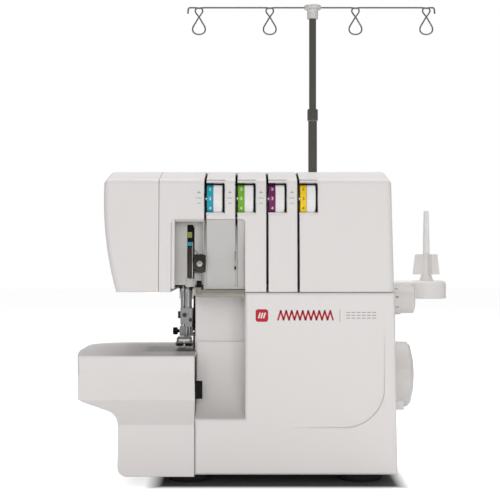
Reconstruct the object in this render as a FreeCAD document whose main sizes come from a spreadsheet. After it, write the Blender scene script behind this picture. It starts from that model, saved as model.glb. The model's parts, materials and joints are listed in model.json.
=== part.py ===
import FreeCAD, Part
import math
import os
import re

import Sketcher

# Home four-thread serger (overlock machine), in millimetres.
# Frame: +X to the operator's right, +Y to the back, +Z up.  The origin is on
# the table, under the middle of the whole machine.

SIZES = [
    # housing, outer surfaces
    ("wall", 2.5, "wall of every moulded cover"),
    ("seam", 0.3, "gap along a seam between covers"),
    ("body_base", 9.4, "underside of the housing"),
    ("front_face", -125, "front of the front cover"),
    ("rear_face", 66, "back of the housing"),
    ("side_low", 116.6, "right side at the bottom"),
    ("side_seam", 113.4, "right side at the head seam"),
    ("side_high", 111.2, "right side at the top"),
    ("seam_level", 184.6, "seam between the head and the lower housing"),
    ("column_left", -79, "left side of the column"),
    ("column_front", -65, "front of the column wall"),
    ("side_front", -103.6, "front edge of the belt cover"),
    ("belt_split", 60, "seam between rear cover and belt cover"),
    # head
    ("head_base", 184.9, "underside of the head"),
    ("head_front_low", -122.5, "front of the head at its underside"),
    ("head_front_high", -113, "front of the head at the crease"),
    ("head_crease", 292.5, "crease below the sloping top"),
    ("head_slope_back", -60, "back of the sloping top"),
    ("head_slope_top", 303, "top of the slope"),
    ("head_top", 304.2, "highest point of the head"),
    ("head_left_low", -152.4, "left end at the underside"),
    ("head_left_high", -163.2, "left end at the top"),
    ("head_left_bow", 330, "radius of the bowed left end"),
    ("face_seam", -111.8, "seam between face cover and top cover"),
    ("head_split", 12, "seam between top cover and head rear cover"),
    ("head_round", 5, "rounding of the head's edges"),
    # threading recess and thread slots
    ("recess_left", -99.9, "left side of the threading recess"),
    ("recess_right", -29.15, "right side of the threading recess"),
    ("recess_step", -67, "step between its deep and shallow parts"),
    ("recess_top", 254.5, "top of the recess"),
    ("recess_fold", 217, "fold line on the shallow panel"),
    ("recess_floor", 187, "top of the lip below the recess"),
    ("recess_back", -96, "back wall of the deep part"),
    ("lip_base", 180, "underside of the lip"),
    ("slot_first", -67.2, "first thread slot"),
    ("slot_pitch", 29.73, "distance between thread slots"),
    ("slot_half", 1.1, "half width of a thread slot"),
    # tension dials
    ("window_low", 259.2, "bottom of a dial window"),
    ("window_high", 289.3, "top of a dial window"),
    ("window_wide", 19.7, "width of a dial window"),
    ("dial_level", 274, "height of the dial spindles"),
    ("dial_depth", -102.7, "depth of the dial spindles"),
    ("dial_radius", 17.5, "tension dial"),
    ("dial_wide", 16.4, "tension dial"),
    ("spindle_radius", 3, "tension spindle"),
    # needle and presser bars
    ("needle_bar_x", -87.2, "needle bar"),
    ("needle_bar_y", -37, "needle bar"),
    ("needle_bar_radius", 3.5, "needle bar"),
    ("presser_bar_x", -92.9, "presser bar"),
    ("presser_bar_y", -21, "presser bar"),
    ("presser_bar_radius", 3, "presser bar"),
    ("lug_low", 206, "lower lug of the frame"),
    ("lug_high", 262, "upper lug of the frame"),
    ("lug_thick", 9, "lugs of the frame"),
    ("needle_tip", 122, "tips of the needles"),
    ("clamp_low", 147, "needle clamp"),
    ("clamp_high", 166, "needle clamp"),
    ("foot_sole", 128.4, "underside of the raised presser foot"),
    ("foot_left", -99, "presser foot"),
    ("foot_right", -82.4, "presser foot"),
    ("lever_pivot_y", -43, "presser lifter pivot"),
    ("lever_pivot_z", 236, "presser lifter pivot"),
    ("lever_left", -98.6, "presser lifter plate"),
    # cloth plate and free arm
    ("plate_top", 124.3, "top of needle plate and table"),
    ("plate_left", -129.4, "needle plate"),
    ("plate_right", -79.4, "needle plate"),
    ("plate_front", -72, "needle plate"),
    ("plate_back", -7, "needle plate"),
    ("plate_thick", 2.4, "needle plate"),
    ("arm_base", 86, "underside of the free arm"),
    # front cover
    ("cover_left", -77, "lower left edge of the front cover"),
    ("cover_base", 11, "bottom edge of the front cover"),
    ("cover_top", 184.45, "top edge of the front cover"),
    ("cheek_back_high", 171.2, "back top corner of the front cover's inner cheek"),
    ("cover_back", -104.3, "back edge of the front cover's sides"),
    ("chute_low", 64.5, "front lip of the chip chute"),
    ("chute_high", 134, "top of the chip chute"),
    ("chute_radius", 71, "curve of the chip chute"),
    ("chute_back", -68, "back of the chip chute"),
    ("hinge_y", -115, "front cover hinge"),
    ("hinge_z", 22, "front cover hinge"),
    ("hinge_radius", 3, "front cover hinge rod"),
    ("hinge_slide", 6, "sideways travel that frees the cover"),
    # extension table
    ("table_left", -196.4, "left end of the table"),
    ("table_right", -77.3, "right end of the table"),
    ("table_front", -123, "front edge of the table top"),
    ("table_back", 58, "back of the table"),
    ("table_waist_y", -112, "waist of the table's front"),
    ("table_brow", 109, "lower edge of the table's front band"),
    ("table_waist_z", 80.6, "waist of the table's front"),
    ("table_knee", 58.7, "top of the table's lower front"),
    ("table_under_left", -150.4, "left side of the table's lower box"),
    ("table_foot_round", 9, "radius of the table's lower left corner"),
    ("table_back_round", 45, "radius of the table's back left corner"),
    ("table_bow", 600, "bow of the table's left side"),
    ("table_flare", 7.5, "how much narrower the table is at its front"),
    # drive
    ("shaft_y", -35, "main shaft"),
    ("shaft_z", 98.3, "main shaft"),
    ("shaft_radius", 5, "main shaft"),
    ("wheel_radius", 33.3, "handwheel"),
    ("wheel_rim", 136.4, "outer edge of the handwheel's rim"),
    ("wheel_dome", 142.2, "crown of the handwheel"),
    ("motor_y", 20, "motor shaft"),
    ("motor_z", 49.5, "motor shaft"),
    ("motor_radius", 26, "motor"),
    ("belt_x", 88, "left side of the belt"),
    ("belt_wide", 8, "belt"),
    ("pulley_large", 22, "pulley on the main shaft"),
    ("pulley_small", 8, "pulley on the motor"),
    # side controls
    ("stitch_y", -77, "stitch length dial"),
    ("stitch_z", 175.8, "stitch length dial"),
    ("stitch_radius", 14.3, "stitch length dial"),
    ("stitch_out", 137.6, "stitch length dial"),
    ("switch_y", -97.5, "power switch"),
    ("switch_z", 74.3, "power switch"),
    ("rocker_pivot_x", 114, "pivot of the power switch's rocker"),
    # thread stand
    ("stand_y", 103, "line of the spool pins"),
    ("stand_low", 170.5, "spool stand"),
    ("stand_high", 190.3, "spool stand"),
    ("stand_round", 22, "ends of the spool stand"),
    ("pole_x", 46.4, "pole of the thread guide"),
    ("pin_outer", 128.5, "outer pins, from the pole"),
    ("pin_inner", 48.4, "inner pins, from the pole"),
    ("pin_top", 269.8, "tip of the spool pins"),
    ("pin_root", 4.1, "radius of a spool pin inside its cone holder"),
    ("pin_radius", 3.7, "radius of a spool pin above its cone holder"),
    ("holder_low", 197.4, "cone holders"),
    ("holder_high", 220.3, "cone holders"),
    ("pole_low_radius", 4.95, "lower tube"),
    ("pole_joint", 384.1, "top of the lower tube"),
    ("pole_high_radius", 4, "upper tube"),
    ("cap_low", 486.2, "thread guide cap"),
    ("cap_high", 502, "thread guide cap"),
    ("wire_level", 499, "thread guide wire"),
    ("wire_radius", 0.95, "thread guide wire"),
    ("hook_low", 467.9, "lowest point of the hooks"),
    # rubber feet
    ("foot_radius", 23, "rubber foot"),
    ("foot_x_left", -84, "rubber feet"),
    ("foot_x_right", 83.6, "rubber feet"),
    ("foot_y_front", -82, "rubber feet"),
    ("foot_y_back", 40, "rubber feet"),
]

doc = FreeCAD.newDocument("SergerOverlockMachine")
sheet = doc.addObject("Spreadsheet::Sheet", "Sizes")
for row, (alias, number, note) in enumerate(SIZES, start=1):
    sheet.set(f"A{row}", str(number))
    sheet.setAlias(f"A{row}", alias)
    sheet.set(f"B{row}", note)
doc.recompute()

ALIASES = {alias for alias, _, _ in SIZES}
WORD = re.compile(r"[a-z][a-z_]*")
FULL_TURN = 360
sub_parts = []
cuts = []


# ---------------------------------------------------------------- helpers

def bound(text):
    """Write a size with every alias looked up in the sheet."""
    return WORD.sub(lambda word: f"Sizes.{word.group()}" if word.group() in ALIASES
                    else word.group(), str(text))


def value(text):
    """Give the number that a size works out to."""
    return float(sheet.evalExpression(bound(text)))


def move_to(item, x, y, z):
    """Bind an object's position to the sheet."""
    for axis, size in zip("xyz", (x, y, z)):
        item.setExpression(f"Placement.Base.{axis}", bound(size))
    return item


def block(name, x, y, z):
    """Make a box from its (low, high) pair on each axis."""
    box = doc.addObject("Part::Box", name)
    for side, (low, high) in zip(("Length", "Width", "Height"), (x, y, z)):
        box.setExpression(side, bound(f"({high}) - ({low})"))
    return move_to(box, x[0], y[0], z[0])


TURNS = {
    "x": FreeCAD.Rotation(FreeCAD.Vector(0, 1, 0), 90),
    "y": FreeCAD.Rotation(FreeCAD.Vector(1, 0, 0), -90),
    "z": FreeCAD.Rotation(),
}


def along(axis, centre, start):
    """Order a centre and a start into x, y, z for an axis."""
    place = list(centre)
    place.insert("xyz".index(axis), start)
    return place


def rod(name, axis, centre, span, radius):
    """Make a cylinder along an axis, from its centre line, (low, high) and radius."""
    solid = doc.addObject("Part::Cylinder", name)
    solid.Placement.Rotation = TURNS[axis]
    solid.setExpression("Radius", bound(radius))
    solid.setExpression("Height", bound(f"({span[1]}) - ({span[0]})"))
    return move_to(solid, *along(axis, centre, span[0]))


def taper(name, axis, centre, span, radii):
    """Make a cone frustum along an axis."""
    solid = doc.addObject("Part::Cone", name)
    solid.Placement.Rotation = TURNS[axis]
    solid.setExpression("Radius1", bound(radii[0]))
    solid.setExpression("Radius2", bound(radii[1]))
    solid.setExpression("Height", bound(f"({span[1]}) - ({span[0]})"))
    return move_to(solid, *along(axis, centre, span[0]))


def ring(name, axis, centre, level, radius, thickness):
    """Make a torus round an axis."""
    solid = doc.addObject("Part::Torus", name)
    solid.Placement.Rotation = TURNS[axis]
    solid.setExpression("Radius1", bound(radius))
    solid.setExpression("Radius2", bound(thickness))
    return move_to(solid, *along(axis, centre, level))


def tube(name, axis, centre, span, radius, bore):
    """Make a tube along an axis."""
    outer = rod(f"{name}_outer", axis, centre, span, radius)
    inner = rod(f"{name}_bore", axis, centre, span, bore)
    return cut(name, outer, [inner])


def join(name, parts):
    """Fuse several solids into one."""
    fused = doc.addObject("Part::MultiFuse", name)
    fused.Shapes = parts
    return fused


def group(name, parts):
    """Keep several separate solids together."""
    compound = doc.addObject("Part::Compound", name)
    compound.Links = parts
    return compound


def cut(name, base, tools):
    """Cut tools from a base, and remember the pair for the volume check."""
    result = doc.addObject("Part::Cut", name)
    result.Base = base
    result.Tool = tools[0] if len(tools) == 1 else join(f"{name}_tools", tools)
    cuts.append(result)
    return result


def common(name, first, second):
    """Keep what two solids share."""
    result = doc.addObject("Part::MultiCommon", name)
    result.Shapes = [first, second]
    return result


def rounded(name, base, radius, wanted):
    """Fillet the edges of a solid for which wanted(edge) is true."""
    doc.recompute()
    size = value(radius)
    fillet = doc.addObject("Part::Fillet", name)
    fillet.Base = base
    fillet.Edges = [(number, size, size)
                    for number, edge in enumerate(base.Shape.Edges, start=1) if wanted(edge)]
    return fillet


def parallel(axis):
    """Give a test for edges that run along an axis."""
    index = "xyz".index(axis)

    def test(edge):
        box = edge.BoundBox
        lengths = (box.XLength, box.YLength, box.ZLength)
        across = max(lengths[:index] + lengths[index + 1:])
        return across < 1e-6 < lengths[index]
    return test


PLANES = {"xy": "XY_Plane", "xz": "XZ_Plane", "yz": "YZ_Plane"}
TOWARDS = {"xy": 1, "xz": -1, "yz": 1}


def arc_between(start, end, radius):
    """Make an arc from start to end; a negative radius bows to the left of the way."""
    chord = end - start
    side = FreeCAD.Vector(-chord.y, chord.x, 0).normalize()
    rise = math.sqrt(max(0, radius ** 2 - (chord.Length / 2) ** 2))
    centre = (start + end) * 0.5 + side * math.copysign(rise, radius)
    first = math.atan2(start.y - centre.y, start.x - centre.x)
    last = math.atan2(end.y - centre.y, end.x - centre.x)
    if radius < 0:
        first, last = last, first
    circle = Part.Circle(centre, FreeCAD.Vector(0, 0, 1), abs(radius))
    return Part.ArcOfCircle(circle, first, last)


def draw(body, plane, corners, offset="0"):
    """Sketch a closed outline on one of the body's origin planes.

    A corner is (across, up), or (across, up, radius) where the side that
    follows it is an arc.
    """
    sketch = body.newObject("Sketcher::SketchObject", f"{body.Name}_sketch")
    origin = next(part for part in body.Origin.OriginFeatures if part.Role == PLANES[plane])
    sketch.AttachmentSupport = [(origin, "")]
    sketch.MapMode = "FlatFace"
    sketch.setExpression("AttachmentOffset.Base.z", bound(f"({offset}) * {TOWARDS[plane]}"))
    points = [FreeCAD.Vector(value(corner[0]), value(corner[1]), 0) for corner in corners]
    ends = []
    for index, corner in enumerate(corners):
        start, end = points[index], points[(index + 1) % len(points)]
        if len(corner) == 2:
            sketch.addGeometry(Part.LineSegment(start, end), False)
            ends.append((1, 2))
        else:
            radius = value(corner[2])
            sketch.addGeometry(arc_between(start, end, radius), False)
            ends.append((1, 2) if radius > 0 else (2, 1))
    for index, corner in enumerate(corners):
        after = (index + 1) % len(corners)
        sketch.addConstraint(
            Sketcher.Constraint("Coincident", index, ends[index][1], after, ends[after][0]))
        if len(corner) == 3:
            number = sketch.addConstraint(
                Sketcher.Constraint("Radius", index, abs(value(corner[2]))))
            sketch.setExpression(f"Constraints[{number}]", bound(f"abs({corner[2]})"))
        for kind, size in zip(("DistanceX", "DistanceY"), corner):
            number = sketch.addConstraint(
                Sketcher.Constraint(kind, -1, 1, index, ends[index][0], value(size)))
            sketch.setExpression(f"Constraints[{number}]", bound(size))
    return sketch


def prism(name, plane, corners, span):
    """Pad an outline along its plane's normal, from span's low to its high."""
    body = doc.addObject("PartDesign::Body", name)
    low_side = span[0] if TOWARDS[plane] > 0 else span[1]
    sketch = draw(body, plane, corners, low_side)
    pad = body.newObject("PartDesign::Pad", f"{name}_pad")
    pad.Profile = sketch
    pad.setExpression("Length", bound(f"({span[1]}) - ({span[0]})"))
    sketch.Visibility = False
    return body


def lathe(name, axis, centre, corners):
    """Turn an outline about an axis; corners are (along, radius), or (radius, up) about z."""
    body = doc.addObject("PartDesign::Body", name)
    plane = {"x": "xz", "y": "yz", "z": "xz"}[axis]
    sketch = draw(body, plane, corners)
    turned = body.newObject("PartDesign::Revolution", f"{name}_turned")
    turned.Profile = sketch
    turned.ReferenceAxis = (sketch, ["V_Axis" if axis == "z" else "H_Axis"])
    turned.Angle = FULL_TURN
    return move_to(body, *along(axis, centre, "0"))


def sub_part(label, shape):
    """Name a finished piece; its label is its file's name."""
    shape.Label = label
    sub_parts.append(shape)
    return shape


def slot_at(index):
    """Give the place of a thread slot, counted from 0."""
    return f"(slot_first + {index} * slot_pitch)"


PINS = ("pole_x - pin_outer", "pole_x - pin_inner", "pole_x + pin_inner", "pole_x + pin_outer")


# ---------------------------------------------------------------- head

def head_form(name, inset):
    """Make the head's solid form, every face set in by inset."""
    front = prism(f"{name}_front", "xz", [
        (f"head_left_low + {inset}", f"head_base + {inset}"),
        (f"side_seam - {inset}", f"head_base + {inset}"),
        (f"side_high - {inset}", "head_top + 5"),
        (f"head_left_high + {inset}", "head_top + 5", "head_left_bow"),
    ], ("head_front_low - 5", "rear_face + 5"))
    side = prism(f"{name}_side", "yz", [
        (f"head_front_low + {inset}", f"head_base + {inset}"),
        (f"rear_face - {inset}", f"head_base + {inset}"),
        (f"rear_face - {inset}", f"head_top - 18 - {inset}"),
        ("rear_face - 10", f"head_top - 5 - {inset}"),
        ("rear_face - 46", f"head_top - {inset}"),
        ("head_slope_back", f"head_slope_top - {inset}"),
        (f"head_front_high + {inset}", f"head_crease - {inset}"),
    ], ("head_left_high - 10", "side_seam + 5"))
    return common(name, front, side)


def on_head_outline(edge):
    """Tell whether an edge of the head form is one to round."""
    return edge.BoundBox.ZMax > value("head_base") + 1


def build_head():
    """Make the covers of the head and the grey insert of its threading recess."""
    outer = rounded("head_outer", head_form("head_solid", "0"), "head_round", on_head_outline)
    shell = cut("head_shell", outer, [head_form("head_cavity", "wall")])

    end_region = block("face_region", ("head_left_high - 12", "face_seam"),
                       ("head_front_low - 9", "rear_face + 9"), ("head_base - 9", "head_top + 9"))
    lever_slot = block("lever_slot", ("lever_left - 1.2", "lever_left + 3.2"),
                       ("rear_face - 5", "rear_face + 5"), ("203", "242"))
    sub_part("face_cover", common("face_cover_form", shell, end_region))

    front_region = block("front_region", ("face_seam + seam", "side_seam + 9"),
                         ("head_front_low - 9", "head_split"), ("head_base - 9", "head_top + 9"))
    back_region = block("back_region", ("face_seam + seam", "side_seam + 9"),
                        ("head_split + seam", "rear_face + 9"), ("head_base - 9", "head_top + 9"))
    over_column = block("over_column", ("column_left + wall", "side_seam - wall - 0.5"),
                        ("side_front + 0.5", "rear_face - wall"),
                        ("head_base - 1", "head_base + wall + 1"))
    recess = rounded("recess_opening", block(
        "recess_box", ("recess_left", "recess_right"), ("head_front_low - 9", "-100"),
        ("recess_floor - 9", "recess_top")), "3.5", at_recess_top)
    bar_opening = block("bar_opening", ("recess_left - 0.3", "recess_right + 0.1"),
                        ("head_front_low - 9", "-8"), ("head_base - 1", "head_base + wall + 0.2"))
    slots = []
    for index in range(4):
        place = slot_at(index)
        low = "recess_top - 6" if index < 2 else "head_base - 1"
        slots.append(block(f"slot_{index + 1}", (f"{place} - slot_half", f"{place} + slot_half"),
                           ("head_front_low - 9", "head_slope_back + 20"), (low, "head_top + 5")))
        slots.append(rounded(f"window_{index + 1}", block(
            f"window_box_{index + 1}",
            (f"{place} - slot_half", f"{place} - slot_half + window_wide"),
            ("head_front_low - 9", "head_front_high + 8"), ("window_low", "window_high")),
            "2", right_of(f"{place} + 5")))
        slots.append(block(f"dial_room_{index + 1}",
                           (f"{place} - slot_half", f"{place} - slot_half + window_wide"),
                           ("head_front_high + 1.2", "head_front_high + 15"),
                           ("window_low - 3", "window_high + 3")))
    front = common("top_cover_form", shell, front_region)
    sub_part("top_cover", cut("top_cover_cut", front, [over_column, recess, bar_opening] + slots))
    back = common("head_rear_form", shell, back_region)
    sub_part("head_rear_cover", cut("head_rear_cut", back, [over_column_back(), lever_slot]))


def at_recess_top(edge):
    """Tell whether an edge is one of the recess's two top corners."""
    return parallel("y")(edge) and edge.BoundBox.ZMin > value("recess_top") - 1


def right_of(place):
    """Give a test for edges along Y to the right of a place."""
    limit = value(place)
    return lambda edge: parallel("y")(edge) and edge.BoundBox.XMin > limit


def over_column_back():
    """Make the opening in the head's floor behind the cover seam."""
    return block("over_column_back", ("column_left + wall", "side_seam - wall - 0.5"),
                 ("head_split - 5", "rear_face - wall"), ("head_base - 1", "head_base + wall + 1"))


def build_thread_panel():
    """Make the grey insert: deep left part, folded right part, lip and thread channels."""
    folded = prism("folded_panel", "yz", [
        ("-112", "recess_floor + 0.5"), ("-108.5", "recess_fold"), ("-111.5", "recess_top + 1.5"),
        ("-113.5", "recess_top + 1.5"), ("-110.6", "recess_fold"), ("-114.6", "recess_floor + 0.5"),
    ], ("recess_step", "recess_right + 1.5"))
    deep = block("deep_panel", ("recess_left + 0.3", "recess_step"),
                 ("recess_back", "recess_back + 2"), ("recess_floor + 4", "recess_top - 0.3"))
    left = block("recess_left_side", ("recess_left + 0.3", "recess_left + 2.3"),
                 ("-116", "recess_back"), ("recess_floor + 4", "recess_top - 4"))
    step = block("recess_step_side", ("recess_step - 2", "recess_step"),
                 ("-113.5", "recess_back"), ("recess_floor", "recess_top - 0.3"))
    top = block("recess_roof", ("recess_left + 4", "recess_step"),
                ("-114.8", "recess_back"), ("recess_top - 2.3", "recess_top - 0.3"))
    lip = rounded("recess_lip", block(
        "recess_lip_box", ("column_left + 3", "recess_right - 0.4"), ("-120.5", "column_front - 1"),
        ("lip_base", "recess_floor")), "1.5", parallel("x"))
    take_up_slot = block("take_up_slot", ("-84", "-78.4"), ("recess_back - 1", "recess_back + 3"),
                         ("194", "248"))
    channels = [block(f"channel_{index + 1}", (f"{slot_at(index)} - slot_half",
                                               f"{slot_at(index)} + slot_half"),
                      ("-118", "-105"), ("recess_floor + 3", "recess_top + 1"))
                for index in range(2)]
    solid = join("thread_panel_solid", [folded, deep, left, step, top, lip])
    sub_part("thread_panel", cut("thread_panel_cut", solid, [take_up_slot] + channels))

    plate = block("guide_plate", ("-77.6", "-66.2"), ("-116.2", "-115"), ("203.2", "220.4"))
    arm = block("guide_arm", ("-75", "-69"), ("-115", "recess_back"), ("209", "215"))
    clip = block("guide_clip", ("slot_first + slot_pitch - 1", "slot_first + slot_pitch + 1"),
                 ("-117.5", "-112"), ("206.5", "223"))
    lower = block("guide_lower", ("-75.2", "-70"), ("-120", "-113.7"), ("recess_floor", "195.5"))
    sub_part("front_thread_guides", group("front_guides", [join("guide_plate_arm", [plate, arm]),
                                                           clip, lower]))


def build_tension():
    """Make the four tension dials with their spindles, discs, springs and bracket."""
    arms, spindles, discs, springs = [], [], [], []
    centre = ("dial_depth", "dial_level")
    for index in range(4):
        place = slot_at(index)
        low, high = f"{place} + 1.4", f"{place} + 1.4 + dial_wide"
        wheel = rod(f"dial_{index + 1}", "x", centre, (low, high), "dial_radius")
        edge = rounded(f"dial_edge_{index + 1}", wheel, "1", round_edge)
        bore = rod(f"dial_bore_{index + 1}", "x", centre, (f"{low} - 1", f"{high} + 1"),
                   "spindle_radius + 0.06")
        sub_part(f"tension_dial_{index + 1}", cut(f"dial_cut_{index + 1}", edge, [bore]))
        spindles.append(rod(f"spindle_{index + 1}", "x", centre,
                            (f"{place} + 0.2", f"{place} + 28"), "spindle_radius"))
        discs.append(tube(f"discs_{index + 1}", "x", centre,
                          (f"{high} + 0.5", f"{high} + 2.7"), "9", "spindle_radius"))
        springs.append(tube(f"spring_{index + 1}", "x", centre,
                            (f"{high} + 2.7", f"{place} + 25"), "5", "spindle_radius"))
        arms.append(cut(f"bracket_arm_{index + 1}", block(
            f"bracket_tab_{index + 1}", (f"{place} + 25", f"{place} + 27.4"),
            ("dial_depth - 6", "-80"), ("dial_level - 8", "dial_level + 8")), [rod(
                f"bracket_hole_{index + 1}", "x", centre,
                (f"{place} + 24", f"{place} + 28"), "spindle_radius")]))
    rail = block("bracket_rail", (f"{slot_at(0)} + 20", f"{slot_at(3)} + 27.4"),
                 ("-80", "-77.5"), ("dial_level - 14", "dial_level + 14"))
    post = block("bracket_post", ("-28", "-12"), ("-77.5", "-28"), ("dial_level - 12", "dial_level - 4"))
    sub_part("tension_discs", group("tension_disc_set", discs))
    sub_part("tension_springs", group("tension_spring_set", springs))
    sub_part("tension_bracket", join("tension_bracket_solid",
                                      arms + spindles + [rail, post]))


def round_edge(edge):
    """Tell whether an edge is a full circle."""
    return edge.Curve.TypeId == "Part::GeomCircle" and edge.isClosed()


# ---------------------------------------------------------------- lower housing

def build_lower_housing():
    """Make the rear cover, the belt cover, the column cover and the base pan."""
    walls = prism("lower_walls", "xy", [
        ("side_low + 1", "side_front"), ("side_low + 1", "rear_face - 6", "6"),
        ("side_low - 5", "rear_face"), ("column_left + 6", "rear_face", "6"),
        ("column_left", "rear_face - 6"), ("column_left", "column_front + wall"),
        ("column_left + wall", "column_front + wall"), ("column_left + wall", "rear_face - wall"),
        ("side_seam - 3", "rear_face - wall"), ("side_seam - 3", "side_front"),
    ], ("body_base", "seam_level"))
    draft = prism("lower_draft", "xz", [
        ("column_left - 3", "body_base"), ("side_low", "body_base"),
        ("side_seam", "seam_level"), ("column_left - 3", "seam_level"),
    ], ("front_face", "rear_face + 5"))
    lower = common("lower_shell", walls, draft)
    levels = ("body_base - 2", "seam_level + 2")
    depths = ("front_face", "rear_face + 3")
    left_region = block("rear_region", ("column_left - 3", "belt_split"), depths, levels)
    right_region = block("belt_region", ("belt_split + seam", "side_low + 3"), depths, levels)
    pan_opening = block("pan_opening", ("column_left - 3", "column_left + wall + 0.1"),
                        ("column_front", "52"), ("body_base - 2", "24.2"))
    knife_slot = block("knife_slot", ("column_left - 3", "column_left + wall + 1"),
                       ("-62", "-34"), ("plate_top - 4", "152"))
    arm_opening = block("arm_opening", ("column_left - 3", "column_left + wall + 1"),
                        ("-62", "-8"), ("arm_base + 3", "plate_top - 3"))
    vents = [block(f"vent_{index + 1}", (f"{-30 + 9 * index}", f"{-26 + 9 * index}"),
                   ("rear_face - 5", "rear_face + 5"), ("40", "72")) for index in range(7)]
    stand_screw_side = common("rear_cover_form", lower, left_region)
    sub_part("rear_cover", cut("rear_cover_cut", stand_screw_side,
                               [pan_opening, knife_slot, arm_opening] + vents))
    side_holes = [
        rod("wheel_hole", "x", ("shaft_y", "shaft_z"), ("side_seam - 9", "side_low + 9"), "9"),
        rod("stitch_hole", "x", ("stitch_y", "stitch_z"), ("side_seam - 9", "side_low + 9"), "4.6"),
        block("switch_hole", ("side_seam - 9", "side_low + 9"), ("switch_y - 5", "switch_y + 5"),
              ("switch_z - 6.3", "switch_z + 6.3")),
        block("inlet_hole", ("side_seam - 9", "side_low + 9"), ("24", "50"), ("24.5", "46.5")),
    ]
    belt_side = common("belt_cover_form", lower, right_region)
    sub_part("belt_cover", cut("belt_cover_cut", belt_side, side_holes))

    wall = rounded("column_wall", block(
        "column_wall_box", ("column_left", "side_seam - 3.2"), ("column_front", "column_front + wall"),
        ("24.2", "seam_level")), "1.4", column_corner)
    looper_bay = block("looper_bay", ("column_left + 5", "-34"),
                       ("column_front - 3", "column_front + 5"), ("66", "120"))
    sub_part("column_cover", cut("column_cover_cut", wall, [looper_bay]))

    pan = prism("pan_outer", "xy", pan_outline("0"), ("body_base", "24"))
    hollow = prism("pan_inner", "xy", pan_outline("wall"), ("body_base + 3", "26"))
    tray = cut("pan_tray", pan, [hollow])
    brackets = [cut(f"hinge_bracket_{index + 1}", block(
        f"hinge_arm_{index + 1}", (place, f"{place} + 4"), ("hinge_y - 5", "-98.5"),
        ("hinge_z - 5", "hinge_z + 2")), [rod(
            f"hinge_hole_{index + 1}", "x", ("hinge_y", "hinge_z"), (f"{place} - 1", f"{place} + 5"),
            "hinge_radius + 0.05")]) for index, place in enumerate(("-45", "76"))]
    ears = [block(f"bracket_foot_{index + 1}", (place, f"{place} + 4"), ("-98.5", "-92"),
                  ("13", "hinge_z + 2")) for index, place in enumerate(("-45", "76"))]
    sub_part("base_pan", join("base_pan_solid", [tray] + brackets + ears))

    feet = []
    for column, x in enumerate(("foot_x_left", "foot_x_right")):
        for line, y in enumerate(("foot_y_front", "foot_y_back")):
            feet.append(lathe(f"foot_{column}{line}", "z", (x, y), [
                ("0", "0"), ("foot_radius - 3.5", "0"), ("foot_radius - 1", "3.5"),
                ("foot_radius", "body_base - 1.5"), ("foot_radius", "body_base"), ("0", "body_base")]))
    sub_part("rubber_feet", group("rubber_foot_set", feet))


def column_corner(edge):
    """Tell whether an edge is the column wall's front left corner."""
    box = edge.BoundBox
    return (parallel("z")(edge) and box.XMax < value("column_left") + 1
            and box.YMax < value("column_front") + 1)


def pan_outline(inset):
    """Give the base pan's plan, set in by inset."""
    return [
        (f"-113 + {inset}", f"-88 + {inset}"), (f"column_left + {inset}", f"-88 + {inset}"),
        (f"column_left + {inset}", f"-98.5 + {inset}"),
        (f"side_seam - 3.3 - {inset}", f"-98.5 + {inset}"),
        (f"side_seam - 3.3 - {inset}", f"rear_face - 2.8 - {inset}"),
        (f"column_left + 2.8 + {inset}", f"rear_face - 2.8 - {inset}"),
        (f"column_left + 2.8 + {inset}", f"50 - {inset}"), (f"-113 + {inset}", f"50 - {inset}"),
    ]


def build_free_arm():
    """Make the free arm's cover, the needle plate and its screws."""
    arm = block("arm_box", ("plate_left - 2.6", "column_left - 0.1"),
                ("plate_front - 3", "plate_back + 3"), ("arm_base", "plate_top"))
    arm = rounded("arm_rounded", arm, "2.5", arm_corner)
    hollow = block("arm_hollow", ("plate_left", "column_left + 3"),
                   ("plate_front - 0.5", "plate_back + 0.5"), ("arm_base + wall", "plate_top - 5"))
    seat = block("plate_seat", ("plate_left", "column_left + 3"), ("plate_front", "plate_back"),
                 ("plate_top - plate_thick", "plate_top + 1"))
    well = block("plate_well", ("plate_left + 3", "column_left + 3"),
                 ("plate_front + 3", "plate_back - 3"), ("plate_top - 6", "plate_top + 1"))
    sub_part("free_arm_cover", cut("arm_cut", arm, [hollow, seat, well]))

    plate = rounded("plate_rounded", block(
        "plate_box", ("plate_left + 0.1", "plate_right"), ("plate_front + 0.1", "plate_back - 0.1"),
        ("plate_top - plate_thick", "plate_top")), "1", parallel("z"))
    depth = ("plate_top - plate_thick - 1", "plate_top + 1")
    holes = [
        block("needle_slot", ("needle_bar_x - 3.4", "needle_bar_x + 3.2"),
              ("needle_bar_y - 1.5", "needle_bar_y + 1.5"), depth),
        block("dog_slot_left", ("-98.4", "-94.6"), ("-56", "-14"), depth),
        block("dog_slot_right", ("-93.9", "-91.1"), ("-56", "-14"), depth),
        block("knife_notch", ("plate_right - 3", "plate_right + 1"), ("-56", "-36"), depth),
    ]
    screws = []
    for index, (x, y) in enumerate((("-123", "-66"), ("-123", "-13"), ("-84", "-64"))):
        holes.append(rod(f"plate_screw_hole_{index + 1}", "z", (x, y), depth, "2.9"))
        screws.append(slotted(f"plate_screw_{index + 1}", (x, y), "plate_top - plate_thick",
                              "plate_top - 0.3", "2.9"))
    sub_part("needle_plate", cut("needle_plate_cut", plate, holes))
    sub_part("needle_plate_screws", group("needle_plate_screw_set", screws))


def arm_corner(edge):
    """Tell whether an edge is one of the free arm's left corners or its lower left edge."""
    box = edge.BoundBox
    return box.XMax < value("plate_left") and (parallel("z")(edge) or (
        parallel("y")(edge) and box.ZMax < value("arm_base") + 1))


def slotted(name, centre, low, high, radius):
    """Make an upright screw head with a slot."""
    x, y = centre
    head = rod(f"{name}_head", "z", centre, (low, high), radius)
    slot = block(f"{name}_slot", (f"{x} - 4", f"{x} + 4"), (f"{y} - 0.4", f"{y} + 0.4"),
                 (f"{high} - 0.9", f"{high} + 1"))
    return cut(name, head, [slot])


# ---------------------------------------------------------------- front cover and table

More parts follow.
